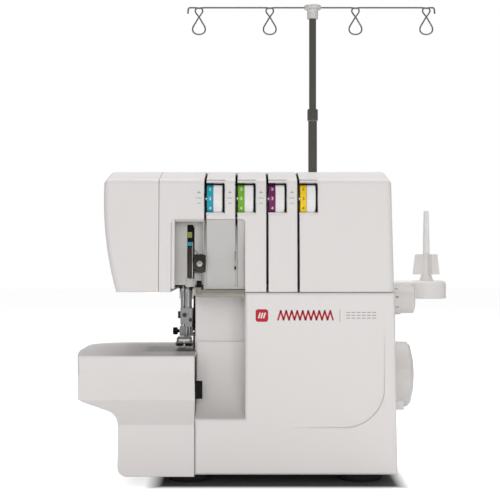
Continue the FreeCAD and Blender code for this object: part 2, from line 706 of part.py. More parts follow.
def build_front_cover():
    """Make the looper cover with its chip chute, and the rod that it hinges on."""
    outline = [("cover_left", "cover_base"), ("side_low - 0.4", "cover_base"),
               ("side_seam", "cover_top"), ("recess_right", "cover_top"),
               ("recess_right", "chute_low"), ("cover_left", "chute_low")]
    inside = [("cover_left + wall", "cover_base + wall"),
              ("side_low - 0.4 - wall", "cover_base + wall"),
              ("side_seam - wall", "cover_top - wall"), ("recess_right + wall", "cover_top - wall"),
              ("recess_right + wall", "chute_low - wall"), ("cover_left + wall", "chute_low - wall")]
    panel = rounded("cover_outer", prism("cover_panel", "xz", outline, ("front_face", "cover_back")),
                    "3", front_edge)
    hollow = prism("cover_hollow", "xz", inside, ("front_face + wall", "cover_back + 1"))
    shell = cut("cover_shell", panel, [hollow])
    chute = prism("chute_sheet", "yz", [
        ("front_face + 1.5", "chute_low", "chute_radius"), ("chute_back", "chute_high"),
        ("chute_back + wall", "chute_high", "-chute_radius - wall"),
        ("front_face + 1.5", "chute_low - wall")], ("cover_left", "recess_right"))
    cheek_outline = [
        ("front_face + 1.5", "chute_low - wall"), ("cover_back", "chute_low - wall"),
        ("chute_back - 8", "chute_low + 18"), ("chute_back + wall", "chute_high - 10"),
        ("chute_back + wall", "cheek_back_high", "lip_base - 0.6 - hinge_z"),
        ("hinge_y", "lip_base - 0.6"), ("front_face + 6", "lip_base - 0.6"),
        ("front_face + 1.5", "lip_base - 3")]
    cheek = prism("chute_cheek", "yz", cheek_outline, ("recess_right", "recess_right + wall"))
    ears = []
    for index, place in enumerate(("-64", "58")):
        ears.append(rod(f"ear_round_{index + 1}", "x", ("hinge_y", "hinge_z"),
                        (place, f"{place} + 6"), "6"))
        ears.append(block(f"ear_web_{index + 1}", (place, f"{place} + 6"),
                          ("front_face + 1", "hinge_y"), ("hinge_z - 5", "hinge_z + 6")))
    solid = join("cover_joined", [shell, chute, cheek] + ears)
    holes = [rod("ear_bore", "x", ("hinge_y", "hinge_z"), ("-70", "70"), "hinge_radius + 0.05")]
    for index, place in enumerate(("-45", "76")):
        holes.append(block(f"bracket_notch_{index + 1}", (f"{place} - hinge_slide - 0.8",
                                                          f"{place} + 4.8"),
                           ("hinge_y - 7.3", "cover_back + 1"), ("cover_base - 1", "cover_base + 5")))
    holes.append(cut("cover_heel", block(
        "cover_heel_box", ("cover_left - 2", "side_low + 2"), ("hinge_y", "cover_back + 2"),
        ("cover_base - 2", "hinge_z")), [rod(
            "cover_heel_round", "x", ("hinge_y", "hinge_z"), ("cover_left - 3", "side_low + 3"),
            "cover_back - hinge_y")]))
    holes.append(swoosh())
    sub_part("front_cover", cut("front_cover_cut", solid, holes))
    sub_part("front_cover_hinge_rod", rod("hinge_rod", "x", ("hinge_y", "hinge_z"),
                                          ("-68", "96"), "hinge_radius"))


def front_edge(edge):
    """Tell whether an edge lies on the cover's front face."""
    return edge.BoundBox.YMax < value("front_face") + 0.01


SWOOSH_ACROSS = 0.0226
SWOOSH_DOWN = 0.0204


def swoosh():
    """Make the cutter for the shallow field, deepest along its curved lower right border."""
    cutter = prism("swoosh_cutter", "xz", [
        ("-130", "-24"), ("-33", "-24", "38"), ("3.4", "17.7"), ("3.4", "120"), ("-130", "120")],
        ("-20", "0"))
    normal = FreeCAD.Vector(-SWOOSH_ACROSS, 1, SWOOSH_DOWN)
    cutter.Placement.Rotation = FreeCAD.Rotation(FreeCAD.Vector(0, 1, 0), normal)
    return move_to(cutter, "100", "front_face + 1.5", "80")


def build_table():
    """Make the extension table, a shell that slides off round the free arm."""
    outer = rounded("table_edges", table_form("table_solid", "0"), "2", table_soft_edge)
    cavity = table_form("table_cavity", "wall")
    shell = cut("table_shell", outer, [cavity])
    arm_room = block("arm_room", ("plate_left - 2.9", "table_right + 3"),
                     ("plate_front - 3.4", "plate_back + 3.4"), ("arm_base - 5", "plate_top + 3"))
    column_room = block("column_room", ("column_left - 0.4", "table_right + 3"),
                        ("column_front - 0.4", "table_back + 3"), ("body_base - 3", "plate_top + 3"))
    sub_part("extension_table", cut("table_cut", shell, [arm_room, column_room]))


def table_form(name, inset):
    """Make the table's solid form, every face set in by inset except the right end."""
    outside = inset == "0"
    right = "table_right" if outside else "table_right + 5"
    foot = "table_under_left + table_foot_round"
    corners = [
        (foot, "body_base" if outside else "body_base - 5"),
        (right, "body_base" if outside else "body_base - 5"), (right, f"plate_top - {inset}"),
        (f"table_left + {inset}", f"plate_top - {inset}"), (f"table_left + {inset}", "table_brow"),
        (f"table_left + 5 + {inset}", f"table_waist_z + 1 + {inset}"),
        (f"table_left + 13 + {inset}", f"table_waist_z - 2.5 + {inset}"),
        (f"table_under_left - 9.5 + {inset}", f"table_knee + 12 + {inset}", f"-14.2 - {inset}"),
        (f"table_under_left + {inset}", "table_knee"),
        (f"table_under_left + {inset}", "body_base + table_foot_round",
         f"table_foot_round - {inset}"),
    ]
    if not outside:
        corners.append((foot, f"body_base + {inset}"))
    front = prism(f"{name}_front", "xz", corners, ("front_face - 3", "table_back + 3"))
    base = "body_base" if outside else "body_base - 5"
    side = prism(f"{name}_side", "yz", [
        (f"front_face + {inset}", base), (f"table_back - {inset}", base),
        (f"table_back - {inset}", f"plate_top - {inset}"),
        (f"table_front + 1 + {inset}", f"plate_top - {inset}"),
        (f"table_front + {inset}", "table_brow"), (f"table_waist_y + {inset}", "table_waist_z"),
        (f"front_face + {inset}", "table_knee"),
    ], ("table_left - 3", "table_right + 6"))
    plan = prism(f"{name}_plan", "xy", [
        ("table_right + 6", f"table_back - {inset}"),
        ("table_left + table_back_round", f"table_back - {inset}", f"table_back_round - {inset}"),
        (f"table_left + {inset}", "table_back - table_back_round", "table_bow"),
        (f"table_left + table_flare + {inset}", "table_front + 4", "4"),
        (f"table_left + table_flare + 4 + {inset}", "table_front"),
        (f"table_left + table_flare + 7 + {inset}", "front_face - 3"),
        ("table_right + 6", "front_face - 3"),
    ], ("body_base - 8", "plate_top + 4"))
    return common(name, common(f"{name}_section", front, side), plan)


def table_soft_edge(edge):
    """Tell whether an edge bounds the table's top, except at its right end."""
    box = edge.BoundBox
    return box.ZMin > value("plate_top") - 0.5 and box.XMin < value("table_right") - 1


# ---------------------------------------------------------------- sewing mechanism

def build_frame():
    """Make the cast frame: foot, column, arm and lugs for the two bars."""
    foot = block("frame_foot", ("-60", "56"), ("-46", "40"), ("body_base + 3", "22"))
    column = block("frame_column", ("-30", "20"), ("-28", "30"), ("22", "lug_high + lug_thick"))
    window = block("frame_window", ("-22", "12"), ("-30", "32"), ("125", "190"))
    beam = block("frame_beam", ("-76", "-30"), ("-50", "-10"), ("lug_low", "lug_high + lug_thick"))
    beam_window = block("beam_window", ("-70", "-34"), ("-52", "-8"),
                        ("lug_low + 12", "lug_high - 3"))
    lugs = [block(f"lug_{index + 1}", ("-104", "-76"), ("-50", "-10"),
                  (level, f"{level} + lug_thick")) for index, level in enumerate(("lug_low", "lug_high"))]
    pivot_post = block("pivot_post", ("-104", "-100.2"), ("lever_pivot_y - 5", "lever_pivot_y + 5"),
                       ("lug_low + lug_thick", "lever_pivot_z + 5"))
    bosses = [block(f"shaft_boss_{index + 1}", (place, f"{place} + 12"), ("shaft_y - 11", "-28"),
                    ("shaft_z - 12", "shaft_z + 12")) for index, place in enumerate(("-28", "6"))]
    lever_stud = rod("lever_stud", "x", ("lever_pivot_y", "lever_pivot_z"),
                     ("-101", "lever_left + 2.8"), "2")
    knife_post = cut("knife_post_cut", block(
        "knife_post", ("-70", "-60"), ("-57", "-43"), ("126", "160")), [block(
            "knife_channel", ("-73", "-61.7"), ("-54.3", "-45.7"), ("120", "165"))])
    knife_beam = block("knife_beam", ("-70", "-28"), ("-43", "-27"), ("148", "160"))
    solid = join("frame_solid", [foot, column, beam, pivot_post, lever_stud, knife_post,
                                 knife_beam] + lugs + bosses)
    holes = [window, beam_window]
    bushes = []
    for index, level in enumerate(("lug_low", "lug_high")):
        span = (f"{level} - 2", f"{level} + lug_thick + 2")
        for bar, x, y in (("needle", "needle_bar_x", "needle_bar_y"),
                          ("presser", "presser_bar_x", "presser_bar_y")):
            holes.append(rod(f"{bar}_bush_hole_{index + 1}", "z", (x, y), span, f"{bar}_bar_radius + 2.5"))
            bushes.append(tube(f"{bar}_bush_{index + 1}", "z", (x, y), span,
                               f"{bar}_bar_radius + 2.5", f"{bar}_bar_radius + 0.05"))
    for index, place in enumerate(("-28", "6")):
        span = (f"{place} - 1", f"{place} + 13")
        holes.append(rod(f"shaft_bush_hole_{index + 1}", "x", ("shaft_y", "shaft_z"), span,
                         "shaft_radius + 3"))
        bushes.append(tube(f"shaft_bush_{index + 1}", "x", ("shaft_y", "shaft_z"), span,
                           "shaft_radius + 3", "shaft_radius + 0.05"))
    sub_part("machine_frame", cut("frame_cut", solid, holes))
    sub_part("bearing_bushes", group("bearing_bush_set", bushes))


def build_needle():
    """Make the needle bar, its clamp, the two needles and the clamp screws."""
    centre = ("needle_bar_x", "needle_bar_y")
    sub_part("needle_bar", rod("needle_bar_rod", "z", centre, ("clamp_high", "280"),
                               "needle_bar_radius"))
    clamp = rounded("clamp_block", block(
        "clamp_box", ("needle_bar_x - 8", "needle_bar_x + 5"),
        ("needle_bar_y - 6", "needle_bar_y + 6"), ("clamp_low", "clamp_high")), "1.2", parallel("z"))
    needles, holes = [], []
    for index, shift in enumerate(("-1.6", "1.4")):
        place = (f"needle_bar_x + {shift}", "needle_bar_y")
        shank = rod(f"needle_shank_{index + 1}", "z", place, ("141", "clamp_low + 10"), "1")
        blade = taper(f"needle_blade_{index + 1}", "z", place, ("needle_tip", "141"), ("0.25", "0.55"))
        needles.append(join(f"needle_{index + 1}", [shank, blade]))
        holes.append(rod(f"needle_hole_{index + 1}", "z", place, ("clamp_low - 1", "clamp_low + 10"), "1"))
    holes.append(block("clamp_step", ("needle_bar_x - 9", "needle_bar_x - 3.4"),
                       ("needle_bar_y - 8", "needle_bar_y + 8"), ("clamp_low - 1", "clamp_low + 3")))
    sub_part("needle_clamp", cut("needle_clamp_cut", clamp, holes))
    sub_part("needles", group("needle_set", needles))
    screws = [
        rod("clamp_screw_front", "y", ("needle_bar_x - 3.5", "clamp_low + 12"),
            ("needle_bar_y - 8.5", "needle_bar_y - 6"), "2.2"),
        rod("clamp_screw_front_right", "y", ("needle_bar_x + 2.4", "clamp_low + 7"),
            ("needle_bar_y - 8.2", "needle_bar_y - 6"), "1.8"),
        rod("clamp_screw_left", "x", ("needle_bar_y", "clamp_low + 12"),
            ("needle_bar_x - 10.5", "needle_bar_x - 8"), "3.6"),
    ]
    sub_part("needle_clamp_screws", group("clamp_screw_set", screws))


def build_presser():
    """Make the presser bar, its spring, foot and holder, and the lifter lever."""
    centre = ("presser_bar_x", "presser_bar_y")
    bar = rod("presser_rod", "z", centre, ("143", "284"), "presser_bar_radius")
    collar = rod("presser_collar", "z", centre, ("lever_pivot_z + 4", "lever_pivot_z + 10"), "7")
    sub_part("presser_bar", join("presser_bar_solid", [bar, collar]))
    sub_part("presser_spring", tube("presser_coil", "z", centre,
                                    ("lever_pivot_z + 10", "lug_high - 2.2"), "5.2", "3.2"))
    holder = block("holder_block", ("presser_bar_x - 4", "presser_bar_x + 9.6"),
                   ("presser_bar_y - 4.6", "presser_bar_y + 4.6"), ("136.6", "146"))
    shank = block("holder_shank", ("presser_bar_x + 0.6", "presser_bar_x + 4.6"),
                  ("presser_bar_y - 9", "presser_bar_y + 4.6"), ("132.2", "140"))
    holder_solid = join("holder_solid", [holder, shank])
    holder_hole = rod("holder_hole", "z", centre, ("142.9", "147"), "presser_bar_radius")
    foot_pin = rod("foot_pin", "x", ("-27", "foot_sole + 5.6"), ("-95.4", "-85"), "1")
    sub_part("foot_holder", join("holder_with_pin", [
        cut("holder_cut", holder_solid, [holder_hole]), foot_pin]))
    sub_part("foot_screw", rod("foot_screw_head", "x", ("presser_bar_y", "141.5"),
                               ("presser_bar_x - 11", "presser_bar_x - 4"), "3.8"))
    sole = prism("foot_sole_body", "yz", [
        ("-62", "foot_sole + 3.4"), ("-55", "foot_sole"), ("-14", "foot_sole"),
        ("-11", "foot_sole + 1.6"), ("-11", "foot_sole + 2.6"), ("-55", "foot_sole + 2.6"),
        ("-61", "foot_sole + 5")], ("foot_left", "foot_right"))
    cheeks = [block(f"foot_cheek_{index + 1}", (x, f"{x} + 1.8"), ("-33", "-20"),
                    ("foot_sole + 2", "foot_sole + 7.5")) for index, x in enumerate(("-94.9", "-87.4"))]
    slots = [block("foot_needle_slot", ("needle_bar_x - 3.6", "needle_bar_x + 3"), ("-40", "-34"),
                   ("foot_sole - 1", "foot_sole + 4")),
             block("foot_toe_slot", ("-91.4", "-89.6"), ("-64", "-46"),
                   ("foot_sole - 1", "foot_sole + 6")),
             rod("foot_pin_hole", "x", ("-27", "foot_sole + 5.6"), ("-96", "-84"), "1.06")]
    sub_part("presser_foot", cut("foot_cut", join("foot_solid", [sole] + cheeks), slots))

    lever = prism("lever_plate", "yz", [
        ("lever_pivot_y - 6", "lever_pivot_z - 6"), ("lever_pivot_y + 8", "lever_pivot_z - 7"),
        ("rear_face - 10", "lever_pivot_z - 12"), ("rear_face + 12", "lever_pivot_z - 14"),
        ("rear_face + 12", "lever_pivot_z - 6"), ("rear_face - 10", "lever_pivot_z - 4"),
        ("presser_bar_y + 3", "lever_pivot_z + 1.6"), ("presser_bar_y + 1.5", "lever_pivot_z + 3.6"),
        ("presser_bar_y - 1.5", "lever_pivot_z + 3.6"), ("presser_bar_y - 3", "lever_pivot_z + 1.6"),
        ("lever_pivot_y + 6", "lever_pivot_z + 5"), ("lever_pivot_y - 6", "lever_pivot_z + 5"),
    ], ("lever_left", "lever_left + 2"))
    grip = rounded("lever_grip", block(
        "lever_grip_box", ("lever_left - 4", "lever_left + 2.5"), ("rear_face + 5", "rear_face + 15.5"),
        ("lever_pivot_z - 17", "lever_pivot_z - 3")), "1.5", parallel("x"))
    grip_slot = block("lever_grip_slot", ("lever_left", "lever_left + 2"),
                      ("rear_face + 4", "rear_face + 12.2"), ("lever_pivot_z - 14.2", "lever_pivot_z - 4.4"))
    pivot = rod("lever_bore", "x", ("lever_pivot_y", "lever_pivot_z"),
                ("lever_left - 1", "lever_left + 3"), "2.06")
    sub_part("lifter_lever", cut("lever_cut", lever, [pivot]))
    sub_part("lifter_grip", cut("lever_grip_cut", grip, [grip_slot]))


def build_looper_area():
    """Make the loopers, knives and feed dogs under the needle plate."""
    for name, depth, pivot_x, pivot_z, tip_x, tip_z in (
            ("lower_looper", "-46", "-58", "74", "-82", "112"),
            ("upper_looper", "-58.2", "-48", "80", "-74", "114")):
        hub = rod(f"{name}_hub", "y", (pivot_x, pivot_z), (depth, f"{depth} + 4"), "6")
        arm = prism(f"{name}_arm", "xz", [
            (f"{pivot_x} - 5", f"{pivot_z} + 1"), (f"{pivot_x} + 5", f"{pivot_z} + 1"),
            (f"{pivot_x} - 1", f"{tip_z} - 2"), (f"{pivot_x} - 6", f"{tip_z} + 2"),
            (tip_x, f"{tip_z} - 1"), (f"{tip_x} + 1", f"{tip_z} - 3"), (f"{pivot_x} - 8", f"{tip_z} - 3")],
            (depth, f"{depth} + 4"))
        bore = rod(f"{name}_bore", "y", (pivot_x, pivot_z), (f"{depth} - 1", f"{depth} + 5"), "3.06")
        sub_part(name, cut(f"{name}_cut", join(f"{name}_solid", [hub, arm]), [bore]))
    shafts = [rod("lower_looper_shaft", "y", ("-58", "74"), ("-48", "-20"), "3"),
              rod("upper_looper_shaft", "y", ("-48", "80"), ("-59", "-20"), "3")]
    carrier = block("looper_carrier_block", ("-64", "-41"), ("-20", "-12"), ("22", "88"))
    sub_part("looper_carrier", join("looper_carrier_solid", shafts + [carrier]))

    blade = block("knife_blade", ("-81.8", "-80.2"), ("-52", "-40"), ("plate_top + 1.5", "142"))
    arm = block("knife_arm", ("-80.2", "-62"), ("-54", "-46"), ("138", "146"))
    sub_part("upper_knife", join("upper_knife_solid", [blade, arm]))
    sub_part("lower_knife", block("lower_knife_blade", ("plate_right - 0.5", "plate_right + 0.9"),
                                  ("-52", "-40"), ("116.8", "plate_top - 0.2")))

    dogs = [block(f"feed_bar_{index + 1}", span, ("-52", "-18"), ("112", "plate_top - 0.6"))
            for index, span in enumerate((("-97.9", "-95.1"), ("-93.4", "-91.6")))]
    bridge = block("feed_bridge", ("-97.9", "-86"), ("-30", "-18"), ("106", "112"))
    teeth = []
    for bar, span in enumerate((("-97.9", "-95.1"), ("-93.4", "-91.6"))):
        teeth += [block(f"feed_tooth_{bar}_{index}", span, (f"{-51.5 + 4 * index}", f"{-49.7 + 4 * index}"),
                        ("plate_top - 0.6", "plate_top + 0.3")) for index in range(9)]
    sub_part("feed_dogs", join("feed_dogs_solid", dogs + [bridge] + teeth))


# ---------------------------------------------------------------- drive

def build_drive():
    """Make the main shaft, handwheel, pulleys, belt and motor."""
    centre = ("shaft_y", "shaft_z")
    sub_part("main_shaft", rod("main_shaft_rod", "x", centre, ("-30", "131"), "shaft_radius"))
    sub_part("handwheel", lathe("handwheel_body", "x", centre, [
        ("118.8", "shaft_radius"), ("131", "shaft_radius"), ("131", "0"),
        ("wheel_dome", "0", "88"), ("wheel_rim", "wheel_radius - 1.8"),
        ("wheel_rim - 1.8", "wheel_radius"), ("120.4", "wheel_radius"),
        ("118.8", "wheel_radius - 1.6"), ("118.8", "wheel_radius - 4.5"),
        ("132.5", "wheel_radius - 4.5"), ("132.5", "9"), ("118.8", "9")]))
    sub_part("drive_pulley", grooved_pulley("drive_pulley_body", centre, "pulley_large", "shaft_radius"))
    small = ("motor_y", "motor_z")
    sub_part("motor_pulley", grooved_pulley("motor_pulley_body", small, "pulley_small", "3.05"))
    casing = rounded("motor_casing", rod("motor_can", "x", small, ("28", "78"), "motor_radius"),
                     "3", round_edge)
    shaft = rod("motor_shaft", "x", small, ("78", "99"), "3")
    feet = block("motor_bracket", ("34", "56"), ("motor_y - 14", "motor_y + 14"),
                 ("body_base + 3", "motor_z - 18"))
    clear_frame = block("motor_frame_gap", ("30", "57"), ("-46", "41"), ("body_base + 2", "22.1"))
    bracket = cut("motor_foot", feet, [clear_frame])
    sub_part("motor", join("motor_solid", [casing, shaft, bracket]))
    sub_part("drive_belt", build_belt())


def grooved_pulley(name, centre, radius, bore):
    """Make a pulley with a belt groove and two flanges."""
    return lathe(name, "x", centre, [
        ("belt_x - 2", bore), ("belt_x + belt_wide + 2", bore),
        ("belt_x + belt_wide + 2", f"{radius} + 3.5"), ("belt_x + belt_wide + 0.5", f"{radius} + 3.5"),
        ("belt_x + belt_wide + 0.5", radius), ("belt_x - 0.5", radius),
        ("belt_x - 0.5", f"{radius} + 3.5"), ("belt_x - 2", f"{radius} + 3.5")])


def belt_loop(name, grow, span):
    """Pad the shape that a taut loop makes round the two pulleys, grown by a distance."""
    large = FreeCAD.Vector(value("shaft_y"), value("shaft_z"), 0)
    small = FreeCAD.Vector(value("motor_y"), value("motor_z"), 0)
    reach = small - large
    radii = (value(f"pulley_large + {grow}"), value(f"pulley_small + {grow}"))
    lean = math.acos((radii[0] - radii[1]) / reach.Length)
    heading = math.atan2(reach.y, reach.x)
    corners = []
    for centre, radius, turn in ((small, radii[1], -lean), (small, radii[1], lean),
                                 (large, radii[0], lean), (large, radii[0], -lean)):
        angle = heading + turn
        corners.append((f"{centre.x + radius * math.cos(angle)}",
                        f"{centre.y + radius * math.sin(angle)}"))
    corners[0] += (f"pulley_small + {grow}",)
    middle = large - reach.normalize() * radii[0]
    corners[2] += (f"pulley_large + {grow}",)
    corners.insert(3, (f"{middle.x}", f"{middle.y}", f"pulley_large + {grow}"))
    return prism(name, "yz", corners, span)


def build_belt():
    """Make the drive belt as a closed loop that clears the pulley grooves."""
    outer = belt_loop("belt_outer", "2.3", ("belt_x", "belt_x + belt_wide"))
    inner = belt_loop("belt_inner", "0.3", ("belt_x - 1", "belt_x + belt_wide + 1"))
    return cut("belt_cut", outer, [inner])


def build_side_controls():
    """Make the stitch length dial, the power rocker and the power inlet."""
    sub_part("stitch_length_dial", lathe("stitch_dial", "x", ("stitch_y", "stitch_z"), [
        ("102", "0"), ("stitch_out", "0"), ("stitch_out", "stitch_radius - 3.5", "3.5"),
        ("stitch_out - 3.5", "stitch_radius"), ("side_seam + 0.9", "stitch_radius"),
        ("side_seam + 0.9", "4"), ("102", "4")]))
    rocker = rounded("rocker_rounded", block(
        "rocker", ("112", "125.2"), ("switch_y - 4.5", "switch_y + 4.5"),
        ("switch_z - 4.3", "switch_z + 4.3")), "1.2", parallel("y"))
    pivot = rod("rocker_pivot", "y", ("rocker_pivot_x", "switch_z"),
                ("switch_y - 4.8", "switch_y + 4.8"), "1.4")
    sub_part("power_switch", join("rocker_with_pivot", [rocker, pivot]))
    inlet = block("inlet_body", ("100", "side_low - 0.4"), ("24.2", "49.8"), ("24.7", "46.3"))
    mouth = block("inlet_mouth", ("104", "side_low + 2"), ("27", "47"), ("27.5", "43.5"))
    pins = [rod(f"inlet_pin_{index + 1}", "x", (f"{32 + 5 * index}", "35.5"), ("103", "108"), "1.2")
            for index in range(3)]
    sub_part("power_inlet", join("inlet_solid", [cut("inlet_cut", inlet, [mouth])] + pins))
    screws = []
    for index, (x, z) in enumerate((("-66", "34"), ("-66", "160"), ("48", "160"), ("48", "34"),
                                    ("100", "34"), ("100", "160"), ("-100", "278"), ("96", "278"))):
        head = rod(f"cover_screw_{index + 1}", "y", (x, z), ("rear_face", "rear_face + 2"), "3.6")
        screws.append(rounded(f"cover_screw_round_{index + 1}", head, "1", back_rim))
    sub_part("cover_screws", group("cover_screw_set", screws))
    sub_part("sewing_lamp", block("lamp_lens", ("-128", "-114"), ("-64", "-44"),
                                  ("head_base - 3", "head_base")))


def back_rim(edge):
    """Tell whether an edge is a screw head's outer rim."""
    return round_edge(edge) and edge.BoundBox.YMin > value("rear_face") + 1


# ---------------------------------------------------------------- thread stand

def build_stand():
    """Make the spool stand, its pins and cone holders, and the telescopic thread guide."""
    parts = [block("stand_bar", (PINS[0], PINS[3]), ("stand_y - 12", "stand_y + 12"),
                   ("stand_low", "stand_high"))]
    room = [block("stand_bar_room", (PINS[0], PINS[3]), ("stand_y - 9.5", "stand_y + 9.5"),
                  ("stand_low - 1", "stand_high - 2.5"))]
    pins, holders = [], []
    for index, x in enumerate(PINS):
        centre = (x, "stand_y")
        parts.append(rod(f"stand_disc_{index + 1}", "z", centre, ("stand_low", "stand_high"),
                         "stand_round"))
        room.append(rod(f"stand_disc_room_{index + 1}", "z", centre,
                        ("stand_low - 1", "stand_high - 2.5"), "stand_round - 2.5"))
        pins.append(lathe(f"pin_{index + 1}", "z", centre, [
            ("0", "stand_high - 2.5"), ("pin_root", "stand_high - 2.5"),
            ("pin_root", "holder_high"), ("pin_radius", "holder_high"),
            ("pin_radius", "holder_high + 10"),
            ("2.9", "pin_top - 2", "2"), ("0.9", "pin_top"), ("0", "pin_top")]))
        holders.append(lathe(f"holder_{index + 1}", "z", centre, [
            ("pin_root + 0.05", "stand_high"), ("7.8", "stand_high"), ("5.4", "holder_low"),
            ("17", "holder_low"), ("17", "holder_low + 2.4"), ("13.4", "holder_high - 1"),
            ("12.4", "holder_high"), ("pin_root + 0.05", "holder_high")]))
    bracket = block("stand_bracket", ("20", "72"), ("rear_face", "stand_y - 10"), ("172", "187"))
    solid = rounded("stand_rounded", join("stand_solid", parts), "4", stand_rim)
    room.append(rod("pole_socket", "z", ("pole_x", "stand_y"), ("160", "200"), "pole_low_radius"))
    room += [rod(f"pin_seat_{index + 1}", "z", (x, "stand_y"), ("stand_high - 4", "200"), "pin_root")
             for index, x in enumerate(PINS)]
    hollow = cut("stand_hollow", solid, room)
    socket = tube("pole_sleeve", "z", ("pole_x", "stand_y"), ("stand_low", "stand_high - 2.5"),
                  "8", "pole_low_radius")
    sub_part("spool_stand", join("spool_stand_solid", [hollow, socket, bracket]))
    sub_part("spool_pins", group("spool_pin_set", pins))
    sub_part("cone_holders", group("cone_holder_set", holders))

    centre = ("pole_x", "stand_y")
    sub_part("pole_lower_tube", lathe("lower_tube", "z", centre, [
        ("pole_high_radius + 0.05", "stand_low"), ("pole_low_radius", "stand_low"),
        ("pole_low_radius", "pole_joint - 13.7"), ("6", "pole_joint - 12.7"),
        ("6", "pole_joint - 1"), ("5.4", "pole_joint"), ("pole_high_radius + 0.05", "pole_joint")]))
    sub_part("pole_upper_tube", tube("upper_tube", "z", centre, ("pole_joint - 22", "cap_low - 0.3"),
                                     "pole_high_radius", "3.2"))
    sub_part("guide_cap", lathe("cap_turned", "z", centre, [
        ("0", "cap_low - 12"), ("3.12", "cap_low - 12"), ("3.12", "cap_low"), ("6.2", "cap_low"),
        ("6.2", "cap_high - 5"), ("9.4", "cap_high - 5"), ("9.4", "cap_high - 1.5", "1.5"),
        ("7.9", "cap_high"), ("0", "cap_high")]))
    wires = [rod("guide_bar", "x", ("stand_y", "wire_level"),
                 (f"{PINS[0]} - 12.5", f"{PINS[3]} + 9.5"), "wire_radius")]
    for index, x in enumerate((f"{PINS[0]} - 12.5", f"{PINS[3]} + 9.5")):
        wires.append(rod(f"guide_tail_{index + 1}", "z", (x, "stand_y"),
                         ("wire_level - 7", "wire_level"), "wire_radius"))
        wires.append(ring_end(f"guide_elbow_{index + 1}", x))
    for index, x in enumerate(PINS):
        wires.append(ring(f"hook_top_{index + 1}", "y", (x, "wire_level - 3.9"), "stand_y",
                          "3.9", "wire_radius"))
        wires.append(ring(f"hook_loop_{index + 1}", "y", (x, "hook_low + 7.9"), "stand_y",
                          "7", "wire_radius"))
        wires.append(rod(f"hook_neck_{index + 1}", "z", (x, "stand_y"),
                         ("hook_low + 14.5", "wire_level - 7.5"), "wire_radius"))
    sub_part("guide_wires", join("guide_wire_solid", wires))


def ring_end(name, x):
    """Round off the outer corner of a bent wire with a ball."""
    ball = doc.addObject("Part::Sphere", name)
    ball.setExpression("Radius", bound("wire_radius"))
    return move_to(ball, x, "stand_y", "wire_level")


def stand_rim(edge):
    """Tell whether an edge bounds the stand's top face."""
    return edge.BoundBox.ZMin > value("stand_high") - 0.01


# ---------------------------------------------------------------- whole machine

def check_and_write():
    """Check every object, then write one file for each sub-part."""
    doc.recompute()
    for item in doc.Objects:
        if "Invalid" in item.State or "Error" in item.State:
            raise RuntimeError(f"{item.Name} failed: {item.State}")
    for item in cuts:
        if item.Shape.Volume >= item.Base.Shape.Volume - 1e-3:
            raise RuntimeError(f"{item.Name} removed nothing")
    for item in sub_parts:
        if item.Shape.isNull() or not item.Shape.isValid():
            raise RuntimeError(f"{item.Label} has a bad shape")
    os.makedirs("parts", exist_ok=True)
    for item in sub_parts:
        item.Shape.exportStep(f"parts/{item.Label}.step")
        print(f"{item.Label}: {len(item.Shape.Solids)} solid(s), {item.Shape.Volume:.0f} mm3")


build_head()
build_thread_panel()
build_tension()
build_lower_housing()
build_free_arm()
build_front_cover()
build_table()
build_frame()
build_needle()
build_presser()
build_looper_area()
build_drive()
build_side_controls()
build_stand()
check_and_write()
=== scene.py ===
"""The looks of a serger overlock machine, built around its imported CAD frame.

Each sub-assembly is a class that models its new pieces and dresses its CAD nodes. Sizes are in
metres unless a name ends in _mm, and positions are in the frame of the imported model.
"""
import json
import logging
import math
from collections.abc import Callable, Sequence
from dataclasses import dataclass
from enum import Enum
from functools import cache

import bpy
from mathutils import Matrix, Vector

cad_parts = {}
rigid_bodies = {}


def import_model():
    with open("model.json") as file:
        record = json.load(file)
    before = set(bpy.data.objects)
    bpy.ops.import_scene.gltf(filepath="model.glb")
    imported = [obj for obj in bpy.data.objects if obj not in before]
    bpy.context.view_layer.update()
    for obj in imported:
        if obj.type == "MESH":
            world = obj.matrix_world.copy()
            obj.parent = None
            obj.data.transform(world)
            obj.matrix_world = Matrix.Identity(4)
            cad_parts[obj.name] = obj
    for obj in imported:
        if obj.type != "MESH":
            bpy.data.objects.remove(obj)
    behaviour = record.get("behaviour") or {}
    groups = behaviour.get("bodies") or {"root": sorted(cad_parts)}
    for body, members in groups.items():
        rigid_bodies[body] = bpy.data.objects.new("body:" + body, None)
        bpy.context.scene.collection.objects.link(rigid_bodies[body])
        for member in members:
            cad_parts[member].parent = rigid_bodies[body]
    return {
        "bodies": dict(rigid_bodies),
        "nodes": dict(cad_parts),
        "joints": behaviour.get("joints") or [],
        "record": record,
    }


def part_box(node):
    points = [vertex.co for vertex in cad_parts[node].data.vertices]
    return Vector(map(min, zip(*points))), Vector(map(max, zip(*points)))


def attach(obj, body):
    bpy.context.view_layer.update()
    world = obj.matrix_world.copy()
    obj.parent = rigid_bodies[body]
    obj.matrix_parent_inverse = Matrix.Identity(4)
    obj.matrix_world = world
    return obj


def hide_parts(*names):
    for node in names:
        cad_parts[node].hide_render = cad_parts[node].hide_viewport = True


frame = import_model()

log = logging.getLogger("overlock")

Colour = tuple[float, float, float]
Point = tuple[float, float, float]
Station = tuple[float, float]


# ---------------------------------------------------------------- shader effects

def new_group(name: str, inputs: dict[str, float], outputs: Sequence[str]) -> bpy.types.NodeTree:
    """Start a shader node group.

    Args:
        name: the group's name.
        inputs: each number input's name and value.
        outputs: the names of the number outputs.

    Returns:
        The group, with its input and output nodes in place.
    """
    tree = bpy.data.node_groups.new(name, "ShaderNodeTree")
    for label, value in inputs.items():
        socket = tree.interface.new_socket(label, in_out="INPUT", socket_type="NodeSocketFloat")
        socket.default_value = value
    for label in outputs:
        tree.interface.new_socket(label, in_out="OUTPUT", socket_type="NodeSocketFloat")
    tree.nodes.new("NodeGroupInput")
    tree.nodes.new("NodeGroupOutput")
    return tree


